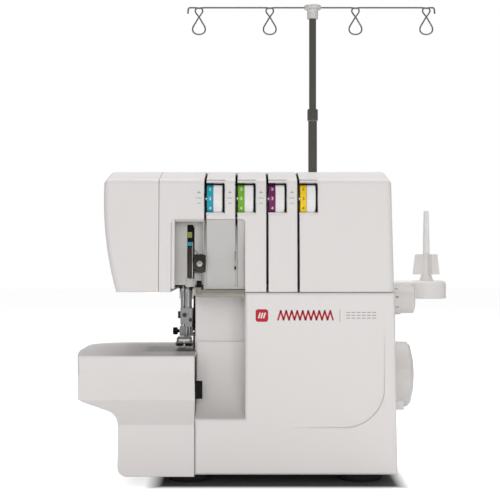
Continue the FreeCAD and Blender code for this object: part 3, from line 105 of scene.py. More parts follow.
def add_node(tree: bpy.types.NodeTree, kind: str, **settings: object) -> bpy.types.Node:
    """Add a node.

    Args:
        tree: the node tree.
        kind: the node's type, without its ShaderNode prefix.
        **settings: attributes to set on it.

    Returns:
        The node.
    """
    node = tree.nodes.new("ShaderNode" + kind)
    for key, value in settings.items():
        setattr(node, key, value)
    return node


def join_sockets(tree: bpy.types.NodeTree, *pairs: tuple[object, object]) -> None:
    """Link each pair of an output socket and an input socket."""
    for source, target in pairs:
        tree.links.new(source, target)


@cache
def surface_grain() -> bpy.types.NodeTree:
    """Make the shared effect of a moulded or machined skin.

    Returns:
        A group that gives a fine grain height, a slow cloud and sparse specks.
    """
    tree = new_group("surface_grain", {"Grain": 900.0, "Cloud": 14.0, "Stretch X": 1.0,
                                       "Stretch Y": 1.0, "Stretch Z": 1.0},
                     ("Height", "Cloud", "Speck"))
    source, sink = tree.nodes[0], tree.nodes[1]
    place = add_node(tree, "TexCoord")
    stretch = add_node(tree, "CombineXYZ")
    scaled = add_node(tree, "VectorMath", operation="MULTIPLY")
    fine = add_node(tree, "TexNoise")
    fine.inputs["Detail"].default_value = 4.0
    slow = add_node(tree, "TexNoise")
    slow.inputs["Detail"].default_value = 3.0
    dots = add_node(tree, "TexVoronoi")
    dots.inputs["Scale"].default_value = 420.0
    speck = add_node(tree, "Math", operation="LESS_THAN")
    speck.inputs[1].default_value = 0.055
    join_sockets(
        tree,
        (source.outputs["Stretch X"], stretch.inputs["X"]),
        (source.outputs["Stretch Y"], stretch.inputs["Y"]),
        (source.outputs["Stretch Z"], stretch.inputs["Z"]),
        (place.outputs["Object"], scaled.inputs[0]), (stretch.outputs[0], scaled.inputs[1]),
        (scaled.outputs[0], fine.inputs["Vector"]), (source.outputs["Grain"], fine.inputs["Scale"]),
        (place.outputs["Object"], slow.inputs["Vector"]),
        (source.outputs["Cloud"], slow.inputs["Scale"]),
        (place.outputs["Object"], dots.inputs["Vector"]),
        (dots.outputs["Distance"], speck.inputs[0]),
        (fine.outputs[0], sink.inputs["Height"]), (slow.outputs[0], sink.inputs["Cloud"]),
        (speck.outputs[0], sink.inputs["Speck"]))
    return tree


@cache
def edge_wear() -> bpy.types.NodeTree:
    """Make the shared effect of handling on corners.

    Returns:
        A group whose mask is 1 along sharp edges, broken up by noise.
    """
    tree = new_group("edge_wear", {"Radius": 0.0008, "Breakup": 60.0}, ("Mask",))
    source, sink = tree.nodes[0], tree.nodes[1]
    soft = add_node(tree, "Bevel", samples=4)
    flat = add_node(tree, "NewGeometry")
    dot = add_node(tree, "VectorMath", operation="DOT_PRODUCT")
    lost = add_node(tree, "Math", operation="SUBTRACT")
    lost.inputs[0].default_value = 1.0
    place = add_node(tree, "TexCoord")
    noise = add_node(tree, "TexNoise")
    gain = add_node(tree, "Math", operation="MULTIPLY", use_clamp=True)
    boost = add_node(tree, "Math", operation="MULTIPLY")
    boost.inputs[1].default_value = 9.0
    join_sockets(
        tree,
        (source.outputs["Radius"], soft.inputs["Radius"]), (soft.outputs[0], dot.inputs[0]),
        (flat.outputs["Normal"], dot.inputs[1]), (dot.outputs["Value"], lost.inputs[1]),
        (place.outputs["Object"], noise.inputs["Vector"]),
        (source.outputs["Breakup"], noise.inputs["Scale"]),
        (lost.outputs[0], boost.inputs[0]), (boost.outputs[0], gain.inputs[0]),
        (noise.outputs[0], gain.inputs[1]), (gain.outputs[0], sink.inputs["Mask"]))
    return tree


class Skin(Enum):
    """How a finish's surface is textured."""

    MOULDED = "moulded"
    MACHINED = "machined"
    CAST = "cast"
    PRINTED = "printed"
    RUBBER = "rubber"


@dataclass(frozen=True)
class SkinFacts:
    """The numbers that belong to one kind of skin."""

    grain: float
    depth: float
    cloud: float
    shade: float
    gloss_change: float


SKINS = {
    Skin.MOULDED: SkinFacts(1500.0, 0.012, 9.0, 0.025, 0.10),
    Skin.MACHINED: SkinFacts(700.0, 0.030, 30.0, 0.10, 0.16),
    Skin.CAST: SkinFacts(420.0, 0.110, 18.0, 0.12, 0.14),
    Skin.PRINTED: SkinFacts(1800.0, 0.015, 60.0, 0.08, 0.10),
    Skin.RUBBER: SkinFacts(800.0, 0.090, 40.0, 0.14, 0.12),
}


@dataclass(frozen=True)
class Finish:
    """One surface finish, made into a procedural material when first used."""

    name: str
    slot: str
    colour: Colour
    roughness: float
    skin: Skin = Skin.MOULDED
    metallic: float = 0.0
    coat: float = 0.0
    wear: float = 0.15
    wear_colour: Colour = (0.9, 0.89, 0.87)
    edge: float = 0.0006
    stretch: Point = (1.0, 1.0, 1.0)
    glow: float = 0.0
    sheen: float = 0.5

    def material(self) -> bpy.types.Material:
        """Give this finish's material."""
        return finish_material(self)


@cache
def finish_material(finish: Finish) -> bpy.types.Material:
    """Build a finish's material.

    Args:
        finish: the finish to build.

    Returns:
        The material: colour wander, edge wear, uneven gloss and a grain bump.
    """
    facts = SKINS[finish.skin]
    material = bpy.data.materials.new(finish.name)
    material.use_nodes = True
    tree = material.node_tree
    shader = tree.nodes["Principled BSDF"]
    shader.inputs["Metallic"].default_value = finish.metallic
    shader.inputs["Coat Weight"].default_value = finish.coat
    shader.inputs["Coat Roughness"].default_value = 0.12
    shader.inputs["Specular IOR Level"].default_value = finish.sheen
    grain = add_node(tree, "Group", node_tree=surface_grain())
    grain.inputs["Grain"].default_value = facts.grain
    grain.inputs["Cloud"].default_value = facts.cloud
    for axis, amount in zip("XYZ", finish.stretch):
        grain.inputs[f"Stretch {axis}"].default_value = amount
    worn = add_node(tree, "Group", node_tree=edge_wear())
    worn.inputs["Radius"].default_value = finish.edge * 1.6
    tone = add_node(tree, "MixRGB", blend_type="MIX")
    tone.inputs["Color1"].default_value = (*(c * (1 - facts.shade) for c in finish.colour), 1)
    tone.inputs["Color2"].default_value = (*(min(1, c * (1 + facts.shade)) for c in finish.colour), 1)
    fleck = add_node(tree, "MixRGB", blend_type="MIX")
    fleck.inputs["Color2"].default_value = (*(c * 0.8 for c in finish.colour), 1)
    fleck_amount = add_node(tree, "Math", operation="MULTIPLY")
    fleck_amount.inputs[1].default_value = facts.shade * 2
    rubbed = add_node(tree, "MixRGB", blend_type="MIX")
    rubbed.inputs["Color2"].default_value = (*finish.wear_colour, 1)
    rub_amount = add_node(tree, "Math", operation="MULTIPLY", use_clamp=True)
    rub_amount.inputs[1].default_value = finish.wear
    gloss = add_node(tree, "MapRange")
    gloss.inputs["To Min"].default_value = max(0.03, finish.roughness - facts.gloss_change)
    gloss.inputs["To Max"].default_value = min(1.0, finish.roughness + facts.gloss_change)
    soft = add_node(tree, "Bevel", samples=4)
    soft.inputs["Radius"].default_value = finish.edge
    bump = add_node(tree, "Bump")
    bump.inputs["Strength"].default_value = 0.35
    bump.inputs["Distance"].default_value = facts.depth * 0.001
    join_sockets(
        tree,
        (grain.outputs["Cloud"], tone.inputs["Fac"]), (tone.outputs[0], fleck.inputs["Color1"]),
        (grain.outputs["Speck"], fleck_amount.inputs[0]),
        (fleck_amount.outputs[0], fleck.inputs["Fac"]),
        (fleck.outputs[0], rubbed.inputs["Color1"]), (worn.outputs["Mask"], rub_amount.inputs[0]),
        (rub_amount.outputs[0], rubbed.inputs["Fac"]),
        (rubbed.outputs[0], shader.inputs["Base Color"]),
        (grain.outputs["Cloud"], gloss.inputs["Value"]),
        (gloss.outputs[0], shader.inputs["Roughness"]),
        (grain.outputs["Height"], bump.inputs["Height"]), (soft.outputs[0], bump.inputs["Normal"]),
        (bump.outputs[0], shader.inputs["Normal"]))
    if finish.glow:
        shader.inputs["Emission Color"].default_value = (1.0, 0.93, 0.8, 1)
        shader.inputs["Emission Strength"].default_value = finish.glow
    return material


WARM_WHITE = (0.79, 0.762, 0.75)
HOUSING = Finish("housing_white", "housing_plastic", WARM_WHITE, 0.34, coat=0.12, wear=0.06,
                 edge=0.0014)
PANEL = Finish("recess_grey", "panel_plastic", (0.57, 0.555, 0.54), 0.42, wear=0.06)
CONTROL = Finish("control_white", "control_plastic", (0.67, 0.65, 0.635), 0.36, coat=0.1, edge=0.0003)
DIAL_WHITE = Finish("dial_white", "control_plastic", (0.86, 0.85, 0.84), 0.36, coat=0.05, edge=0.0003)
STAND = Finish("stand_white", "stand_plastic", (0.80, 0.775, 0.76), 0.38, coat=0.05)
BLACK = Finish("black_moulding", "black_plastic", (0.008, 0.008, 0.009), 0.42,
               wear_colour=(0.05, 0.05, 0.055), sheen=0.12)
FRAME_CAST = Finish("cast_aluminium", "cast_frame", (0.36, 0.36, 0.37), 0.48, Skin.CAST, 0.9,
                    wear=0.4)
CHROME = Finish("polished_chrome", "polished_steel", (0.66, 0.66, 0.67), 0.17, Skin.MACHINED, 1.0,
                edge=0.0002, stretch=(1.0, 1.0, 0.04))
POLE_CHROME = Finish("smoked_chrome", "polished_steel", (0.20, 0.19, 0.17), 0.2, Skin.MACHINED,
                     1.0, edge=0.0002, stretch=(1.0, 1.0, 0.03))
WIRE = Finish("bright_wire", "polished_steel", (0.30, 0.29, 0.28), 0.26, Skin.MACHINED, 1.0,
              edge=0.0001, stretch=(0.1, 1.0, 1.0))
PLATE = Finish("ground_steel", "brushed_steel", (0.52, 0.515, 0.51), 0.36, Skin.MACHINED, 1.0,
               edge=0.0003, stretch=(0.06, 1.0, 1.0))
DARK_STEEL = Finish("blued_steel", "dark_steel", (0.10, 0.105, 0.12), 0.36, Skin.MACHINED, 1.0,
                    wear=0.5, wear_colour=(0.45, 0.45, 0.46), edge=0.0003)
BRONZE = Finish("sintered_bronze", "bronze", (0.42, 0.27, 0.13), 0.45, Skin.CAST, 1.0)
MOTOR_PAINT = Finish("motor_enamel", "motor_paint", (0.05, 0.052, 0.056), 0.45, Skin.CAST)
PULLEY = Finish("pulley_alloy", "pulley_metal", (0.52, 0.52, 0.53), 0.38, Skin.MACHINED, 1.0)
BELT = Finish("belt_black", "belt_rubber", (0.018, 0.018, 0.018), 0.7, Skin.RUBBER,
              wear_colour=(0.06, 0.06, 0.06))
RUBBER = Finish("foot_black", "foot_rubber", (0.022, 0.022, 0.023), 0.75, Skin.RUBBER,
                wear_colour=(0.07, 0.07, 0.07))
LENS = Finish("lamp_diffuser", "lamp_lens", (0.86, 0.84, 0.78), 0.3, glow=0.7)
TEAL = Finish("band_teal", "control_plastic", (0.0, 0.34, 0.46), 0.32, coat=0.2,
              wear_colour=(0.2, 0.55, 0.62))
GREEN = Finish("band_green", "control_plastic", (0.16, 0.42, 0.01), 0.32, coat=0.2,
               wear_colour=(0.35, 0.6, 0.15))
PURPLE = Finish("band_purple", "control_plastic", (0.17, 0.0, 0.095), 0.32, coat=0.2,
                wear_colour=(0.4, 0.12, 0.3))
YELLOW = Finish("band_yellow", "control_plastic", (0.93, 0.60, 0.0), 0.32, coat=0.2,
                wear_colour=(0.95, 0.75, 0.25))
# Painted shade: these dark olive-greys stand in for the shade under the head's lower lip, the deeper one
# for the upper strip and the stub
LIP_SHADE_DEEP = Finish("lip_painted_shade_deep", "panel_plastic", (0.235, 0.225, 0.185), 0.35, wear=0.05)
LIP_SHADE_SOFT = Finish("lip_painted_shade_soft", "panel_plastic", (0.33, 0.315, 0.275), 0.35, wear=0.05)
OLIVE = Finish("tab_olive", "panel_plastic", (0.30, 0.34, 0.05), 0.4)
WHITE_INK = Finish("white_ink", "control_plastic", (0.85, 0.85, 0.85), 0.45, Skin.PRINTED,
                   edge=0.00005)
DARK_INK = Finish("dark_ink", "black_plastic", (0.03, 0.025, 0.02), 0.5, Skin.PRINTED,
                  edge=0.00005)
GREY_INK = Finish("grey_ink", "panel_plastic", (0.33, 0.33, 0.33), 0.5, Skin.PRINTED,
                  edge=0.00005)
RED_INK = Finish("red_ink", "control_plastic", (0.50, 0.004, 0.02), 0.4, Skin.PRINTED,
                 wear_colour=(0.7, 0.15, 0.15), edge=0.0001)
BROWN_PLATE = Finish("bronzed_plate", "dark_steel", (0.085, 0.072, 0.06), 0.3, Skin.MACHINED, 1.0,
                     edge=0.0002)


# ---------------------------------------------------------------- the bench

class Axis(Enum):
    """A direction that a turned piece stands along."""

    X = "X"
    Y = "Y"
    Y_BACK = "Y_BACK"
    Z = "Z"

    def turn(self) -> Matrix:
        """Give the rotation from +Z to this direction."""
        return {
            Axis.X: Matrix.Rotation(math.pi / 2, 4, "Y"),
            Axis.Y: Matrix.Rotation(-math.pi / 2, 4, "X"),
            Axis.Y_BACK: Matrix.Rotation(math.pi / 2, 4, "X"),
            Axis.Z: Matrix.Identity(4),
        }[self]


def mm(*numbers: float) -> tuple[float, ...]:
    """Turn millimetres into metres."""
    return tuple(number * 0.001 for number in numbers)


def clear_bench() -> None:
    """Deselect every object."""
    bpy.ops.object.select_all(action="DESELECT")


class Piece:
    """A new piece: a primitive that edit-mode tools and modifiers then shape."""

    def __init__(self, name: str, add: Callable[..., object], **size: object) -> None:
        """Add a primitive and take it as this piece.

        Args:
            name: the piece's name.
            add: the operator that adds the primitive.
            **size: the operator's settings.
        """
        clear_bench()
        add(**size)
        self.obj: bpy.types.Object = bpy.context.active_object
        self.obj.name = self.obj.data.name = name
        self.settle()

    def settle(self) -> "Piece":
        """Put the object's place, turn and size into its mesh."""
        self.hold()
        bpy.ops.object.transform_apply(location=True, rotation=True, scale=True)
        return self

    def hold(self) -> None:
        """Make this piece the only selected object and the active one."""
        clear_bench()
        self.obj.select_set(True)
        bpy.context.view_layer.objects.active = self.obj

    def pick(self, test: Callable[[bpy.types.MeshPolygon], bool]) -> "Piece":
        """Select the faces that pass a test, and no others."""
        mesh = self.obj.data
        mesh.vertices.foreach_set("select", [False] * len(mesh.vertices))
        mesh.edges.foreach_set("select", [False] * len(mesh.edges))
        mesh.polygons.foreach_set("select", [bool(test(face)) for face in mesh.polygons])
        return self

    def pick_edges(self, test: Callable[[Vector, Vector], bool]) -> "Piece":
        """Select the edges whose two ends pass a test, and no others."""
        mesh = self.obj.data
        mesh.polygons.foreach_set("select", [False] * len(mesh.polygons))
        mesh.vertices.foreach_set("select", [False] * len(mesh.vertices))
        for edge in mesh.edges:
            ends = [mesh.vertices[i] for i in edge.vertices]
            edge.select = bool(test(ends[0].co, ends[1].co))
            if edge.select:
                ends[0].select = ends[1].select = True
        return self

    def run(self, tool: Callable[..., object], edges: bool = False, **settings: object) -> "Piece":
        """Use an edit-mode tool on the selection.

        Args:
            tool: the operator.
            edges: whether the selection is of edges, not faces.
            **settings: the operator's settings.

        Returns:
            This piece.
        """
        self.hold()
        bpy.context.tool_settings.mesh_select_mode = (False, edges, not edges)
        bpy.ops.object.mode_set(mode="EDIT")
        tool(**settings)
        bpy.ops.object.mode_set(mode="OBJECT")
        return self

    def extrude(self, step: Sequence[float]) -> "Piece":
        """Extrude the selected faces by a step."""
        return self.run(bpy.ops.mesh.extrude_region_move, TRANSFORM_OT_translate={"value": step})

    def resize(self, scale: Sequence[float], centre: Sequence[float]) -> "Piece":
        """Scale the selection about a point."""
        return self.run(bpy.ops.transform.resize, value=scale, center_override=centre)

    def sink(self, rim: float, depth: float) -> "Piece":
        """Inset each selected face and move it along its normal by minus the depth."""
        return self.run(bpy.ops.mesh.inset, thickness=rim, depth=-depth, use_individual=True)

    def bevel(self, width: float, segments: int = 2) -> "Piece":
        """Bevel the selected edges."""
        return self.run(bpy.ops.mesh.bevel, edges=True, offset=width, segments=segments,
                        clamp_overlap=True)

    def round_all(self, width: float, segments: int = 3, angle: float = 30) -> "Piece":
        """Round every edge sharper than an angle."""
        return self.modify("BEVEL", width=width, segments=segments,
                           limit_method="ANGLE", angle_limit=math.radians(angle),
                           harden_normals=False)

    def modify(self, kind: str, **settings: object) -> "Piece":
        """Add a modifier and apply it."""
        self.hold()
        modifier = self.obj.modifiers.new(kind.lower(), kind)
        for key, value in settings.items():
            setattr(modifier, key, value)
        bpy.ops.object.modifier_apply(modifier=modifier.name)
        return self

    def move(self, matrix: Matrix) -> "Piece":
        """Place the piece, keeping the place in its mesh."""
        self.obj.matrix_world = matrix
        return self.settle()

    def stand(self, axis: Axis, centre: Sequence[float]) -> "Piece":
        """Stand a piece that was made along Z at its place."""
        return self.move(Matrix.Translation(centre) @ axis.turn())

    def copy(self, name: str, matrix: Matrix) -> "Piece":
        """Copy the piece with its own mesh.

        Args:
            name: the copy's name.
            matrix: where the copy goes, from where this piece is.

        Returns:
            The copy.
        """
        twin = object.__new__(Piece)
        twin.obj = self.obj.copy()
        twin.obj.data = self.obj.data.copy()
        twin.obj.name = twin.obj.data.name = name
        bpy.context.scene.collection.objects.link(twin.obj)
        return twin.move(matrix)

    def join(self, others: Sequence["Piece"]) -> "Piece":
        """Join other pieces into this one."""
        self.hold()
        for other in others:
            other.obj.select_set(True)
        bpy.ops.object.join()
        return self

    def carve(self, cutter: "Piece") -> "Piece":
        """Cut another piece's shape out of this one and throw the cutter away."""
        self.modify("BOOLEAN", operation="DIFFERENCE", solver="EXACT", object=cutter.obj)
        cutter.discard()
        return self

    def discard(self) -> None:
        """Throw the piece away."""
        bpy.data.objects.remove(self.obj)

    def outward(self) -> "Piece":
        """Merge doubled points and point every face outwards."""
        self.pick(lambda face: True).run(bpy.ops.mesh.remove_doubles, threshold=1e-6)
        return self.pick(lambda face: True).run(bpy.ops.mesh.normals_make_consistent, inside=False)

    def finish(self, coat: Finish, body: str, *replaced: str, angle: float = 35) -> "Piece":
        """Dress the piece and hand it over to its body.

        Args:
            coat: its finish.
            body: the CAD body that it rides on.
            *replaced: CAD nodes that it stands for.
            angle: edges flatter than this are shaded smooth, in degrees.

        Returns:
            This piece.
        """
        self.hold()
        bpy.ops.object.shade_smooth_by_angle(angle=math.radians(angle))
        self.obj.data.materials.clear()
        self.obj.data.materials.append(coat.material())
        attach(self.obj, body)
        if replaced:
            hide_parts(*replaced)
        log.info("%s: %d faces on %s", self.obj.name, len(self.obj.data.polygons), body)
        return self


def block(name: str, low: Sequence[float], high: Sequence[float]) -> Piece:
    """Add a box between two corners."""
    middle = [(a + b) / 2 for a, b in zip(low, high)]
    size = [b - a for a, b in zip(low, high)]
    return Piece(name, bpy.ops.mesh.primitive_cube_add, size=1, location=middle, scale=size)


def turned(name: str, stations: Sequence[Station], sides: int = 48) -> Piece:
    """Turn a solid about Z by extruding and resizing a disc.

    Args:
        name: the piece's name.
        stations: each ring's radius and height, from the bottom up.
        sides: the number of sides.

    Returns:
        The solid, standing on Z, closed at both ends.
    """
    radius, height = stations[0]
    piece = Piece(name, bpy.ops.mesh.primitive_circle_add, vertices=sides, radius=radius,
                  fill_type="NGON", location=(0, 0, height))
    piece.pick(lambda face: True)
    for next_radius, next_height in stations[1:]:
        piece.extrude((0, 0, next_height - height))
        piece.resize((next_radius / radius,) * 2 + (1,), (0, 0, next_height))
        radius, height = next_radius, next_height
    return piece.outward()


def bent_wire(name: str, points: Sequence[Point], radius: float, closed: bool = False,
              detail: int = 6) -> Piece:
    """Bend a round wire through points.

    Args:
        name: the piece's name.
        points: the points of its smooth line.
        radius: the wire's radius.
        closed: whether its end meets its start.
        detail: segments between two points.

    Returns:
        The wire as a mesh.
    """
    clear_bench()
    bpy.ops.curve.primitive_nurbs_path_add()
    curve = bpy.context.active_object.data
    curve.splines.clear()
    line = curve.splines.new("NURBS")
    line.points.add(len(points) - 1)
    for node, point in zip(line.points, points):
        node.co = (*point, 1)
    line.order_u = 3
    line.use_endpoint_u = not closed
    line.use_cyclic_u = closed
    curve.resolution_u = detail
    curve.bevel_depth = radius
    curve.bevel_resolution = 3
    curve.use_fill_caps = True
    clear_bench()
    made = bpy.context.active_object
    made.select_set(True)
    bpy.ops.object.convert(target="MESH")
    piece = object.__new__(Piece)
    piece.obj = bpy.context.active_object
    piece.obj.name = piece.obj.data.name = name
    return piece.settle().outward()


def flat_text(name: str, words: str, size: float, thickness: float) -> Piece:
    """Cut a figure out of a thin sheet, standing in the XY plane about the origin."""
    clear_bench()
    bpy.ops.object.text_add()
    text = bpy.context.active_object
    text.data.body = words
    text.data.size = size
    text.data.extrude = thickness / 2
    text.data.align_x = "CENTER"
    text.data.align_y = "CENTER"
    text.data.resolution_u = 4
    bpy.ops.object.convert(target="MESH")
    piece = object.__new__(Piece)
    piece.obj = bpy.context.active_object
    piece.obj.name = piece.obj.data.name = name
    return piece.settle()


def gather(name: str, pieces: Sequence[Piece]) -> Piece:
    """Join pieces into the first of them and name it."""
    whole = pieces[0].join(pieces[1:])
    whole.obj.name = name
    return whole


def wrap_round(piece: Piece, radius: float, angle: float) -> Piece:
    """Lay a flat figure on a drum that turns about X.

    Args:
        piece: a figure in the XY plane; its X stays along the drum's axis.
        radius: the drum's radius.
        angle: where on the drum it goes, in degrees up from the front.

    Returns:
        The piece.
    """
    for vertex in piece.obj.data.vertices:
        turn = math.radians(angle) + vertex.co.y / radius
        reach = radius + vertex.co.z
        vertex.co = (vertex.co.x, -reach * math.cos(turn), reach * math.sin(turn))
    return piece


def dress(coat: Finish, *nodes: str) -> None:
    """Give CAD nodes a finish.

    Args:
        coat: the finish.
        *nodes: the nodes' names.
    """
    for name in nodes:
        slots = frame["nodes"][name].data.materials
        slots.clear()
        slots.append(coat.material())
        log.info("%s: %s", name, coat.name)


# ---------------------------------------------------------------- sub-assemblies

@dataclass(frozen=True)
class Slab:
    """A small block with rounded edges, its corners and rounding in millimetres."""

    name: str
    coat: Finish
    low: Point
    high: Point
    rounding: float = 0.3
    segments: int = 2
    body: str = "root"

    def build(self) -> Piece:
        """Model the block and hand it over to its body."""
        piece = block(self.name, mm(*self.low), mm(*self.high))
        return piece.round_all(self.rounding * 0.001, self.segments).finish(self.coat, self.body)


@dataclass
class Housing:
    """The moulded covers, the base, the catch and the printed mark."""

    mark_face: float = -0.12504
    badge: Sequence[float] = mm(-13.1, 162.7, 12.0)
    badge_round: float = 0.0026
    tile_thick: float = 0.0006
    ink_thick: float = 0.0001
    band_start: float = 0.0022
    band_end: float = 0.0545
    band_level: float = 0.1629
    zigzag_corners: int = 21
    zigzag_reach: float = 0.0043
    divider: Sequence[float] = mm(61.1, -6.2, 5.8)
    dash_start: float = 0.0675
    dash_pitch: float = 0.0049
    dash_long: float = 0.0031
    dash_rows: Sequence[float] = mm(2.7, 0, -2.7)
    dash_columns: int = 6
    screw_radius: float = 0.0036
    screw_places: Sequence[Station] = (
        mm(-66, 34), mm(-66, 160), mm(48, 160), mm(48, 34), mm(100, 34), mm(100, 160),
        mm(-100, 278), mm(96, 278))

    def build(self) -> None:
        """Build the mark, the catch and the rear cover screws."""
        self.build_badge()
        self.build_stitch_band()
        self.build_catch()
        self.build_screws()

    def build_badge(self) -> None:
        """Build the small rounded tile and the three slanted strokes on it."""
        x, z, size = self.badge
        half, face = size / 2, self.mark_face
        tile = block("mark_tile", (x - half, face, z - half), (x + half, face + self.tile_thick, z + half))
        tile.pick_edges(lambda a, b: abs(a.y - b.y) > self.tile_thick / 2).bevel(self.badge_round, 5)
        tile.finish(RED_INK, "looper_cover")
        front = face - self.ink_thick / 5
        strokes = [self.stroke(f"tile_dash_{i}", [
            (x + half * (0.4 * i - 0.52), front, z - half * 0.38),
            (x + half * (0.4 * i - 0.28), front, z + half * 0.38)], 0.00065) for i in range(3)]
        gather("mark_tile_stitch", strokes).finish(WHITE_INK, "looper_cover")

    def stroke(self, name: str, corners: Sequence[Point], half: float) -> Piece:
        """Draw a printed line with square ends through corners on the front face.

        Args:
            name: the piece's name.
            corners: the line's corners.
            half: half the line's width.

        Returns:
            The line, as thick as the ink.
        """
        bars = []
        for index, (a, b) in enumerate(zip(corners, corners[1:])):
            reach = (Vector(b) - Vector(a)).length / 2 + half * 0.6
            bar = block(f"{name}_{index}", (-reach, 0, -half), (reach, self.ink_thick, half))
            turn = Matrix.Rotation(-math.atan2(b[2] - a[2], b[0] - a[0]), 4, "Y")
            bars.append(bar.move(Matrix.Translation((Vector(a) + Vector(b)) / 2) @ turn))
        return gather(name, bars)

    def build_stitch_band(self) -> None:
        """Build the zigzag band, the divider and the plain stitch lines beside the badge."""
        face, level = self.mark_face, self.band_level
        pitch = (self.band_end - self.band_start) / (self.zigzag_corners - 1)
        corners = [(self.band_start + pitch * i, face, level + self.zigzag_reach * (1 if i % 2 else -1))
                   for i in range(self.zigzag_corners)]
        self.stroke("mark_zigzag", corners, 0.00085).finish(RED_INK, "looper_cover")
        x, foot, head = self.divider
        line = [(x, face, level + foot), (x, face, level + head)]
        self.stroke("mark_divider", line, 0.00025).finish(GREY_INK, "looper_cover")
        dashes = []
        for row, rise in enumerate(self.dash_rows):
            for column in range(self.dash_columns):
                start, z = self.dash_start + column * self.dash_pitch, level + rise
                dashes.append(self.stroke(f"dash_{row}_{column}", [
                    (start, face, z), (start + self.dash_long, face, z)], 0.0004))
        gather("mark_stitches", dashes).finish(GREY_INK, "looper_cover")

    def build_catch(self) -> None:
        """Build the black catch at the cover's lower left, with the stem behind it."""
        catch = block("cover_catch", mm(-76.9, -112.0, 82.0), mm(-70.2, -109.4, 99.2))
        catch.pick(lambda face: face.normal.y < -0.9).sink(0.0008, 0.0003)
        stem = block("catch_stem", mm(-76.2, -110.0, 84.0), mm(-73.0, -88.0, 88.5))
        catch.join([stem]).round_all(0.0004, 2).finish(BLACK, "looper_cover")

    def build_screws(self) -> None:
        """Build a cross-headed screw and copy it to every place on the back."""
        r = self.screw_radius
        head = turned("cover_screw", [(r, 0.0), (r, 0.0010), (r * 0.86, 0.0016), (r * 0.45, 0.0019)], 24)
        for wide, high in ((0.62, 0.13), (0.13, 0.62)):
            head.carve(block("cross", (-r * wide, -r * high, 0.0009), (r * wide, r * high, 0.003)))
        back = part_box("cover_screws")[0].y
        heads = [head.copy(f"screw_head_{i}", Matrix.Translation((x, back, z)) @ Axis.Y.turn())
                 for i, (x, z) in enumerate(self.screw_places)]
        head.discard()
        gather("cover_screw_heads", heads).finish(DARK_STEEL, "root", "cover_screws")

    def dress(self) -> None:
        """Dress the covers, the base and what is inside them."""
        dress(HOUSING, "top_cover", "face_cover", "front_cover", "rear_cover", "belt_cover",
              "head_rear_cover", "column_cover", "extension_table", "free_arm_cover", "base_pan")
        dress(FRAME_CAST, "machine_frame", "tension_bracket", "looper_carrier")
        dress(BRONZE, "bearing_bushes")
        dress(RUBBER, "rubber_feet")
        dress(CHROME, "front_cover_hinge_rod")


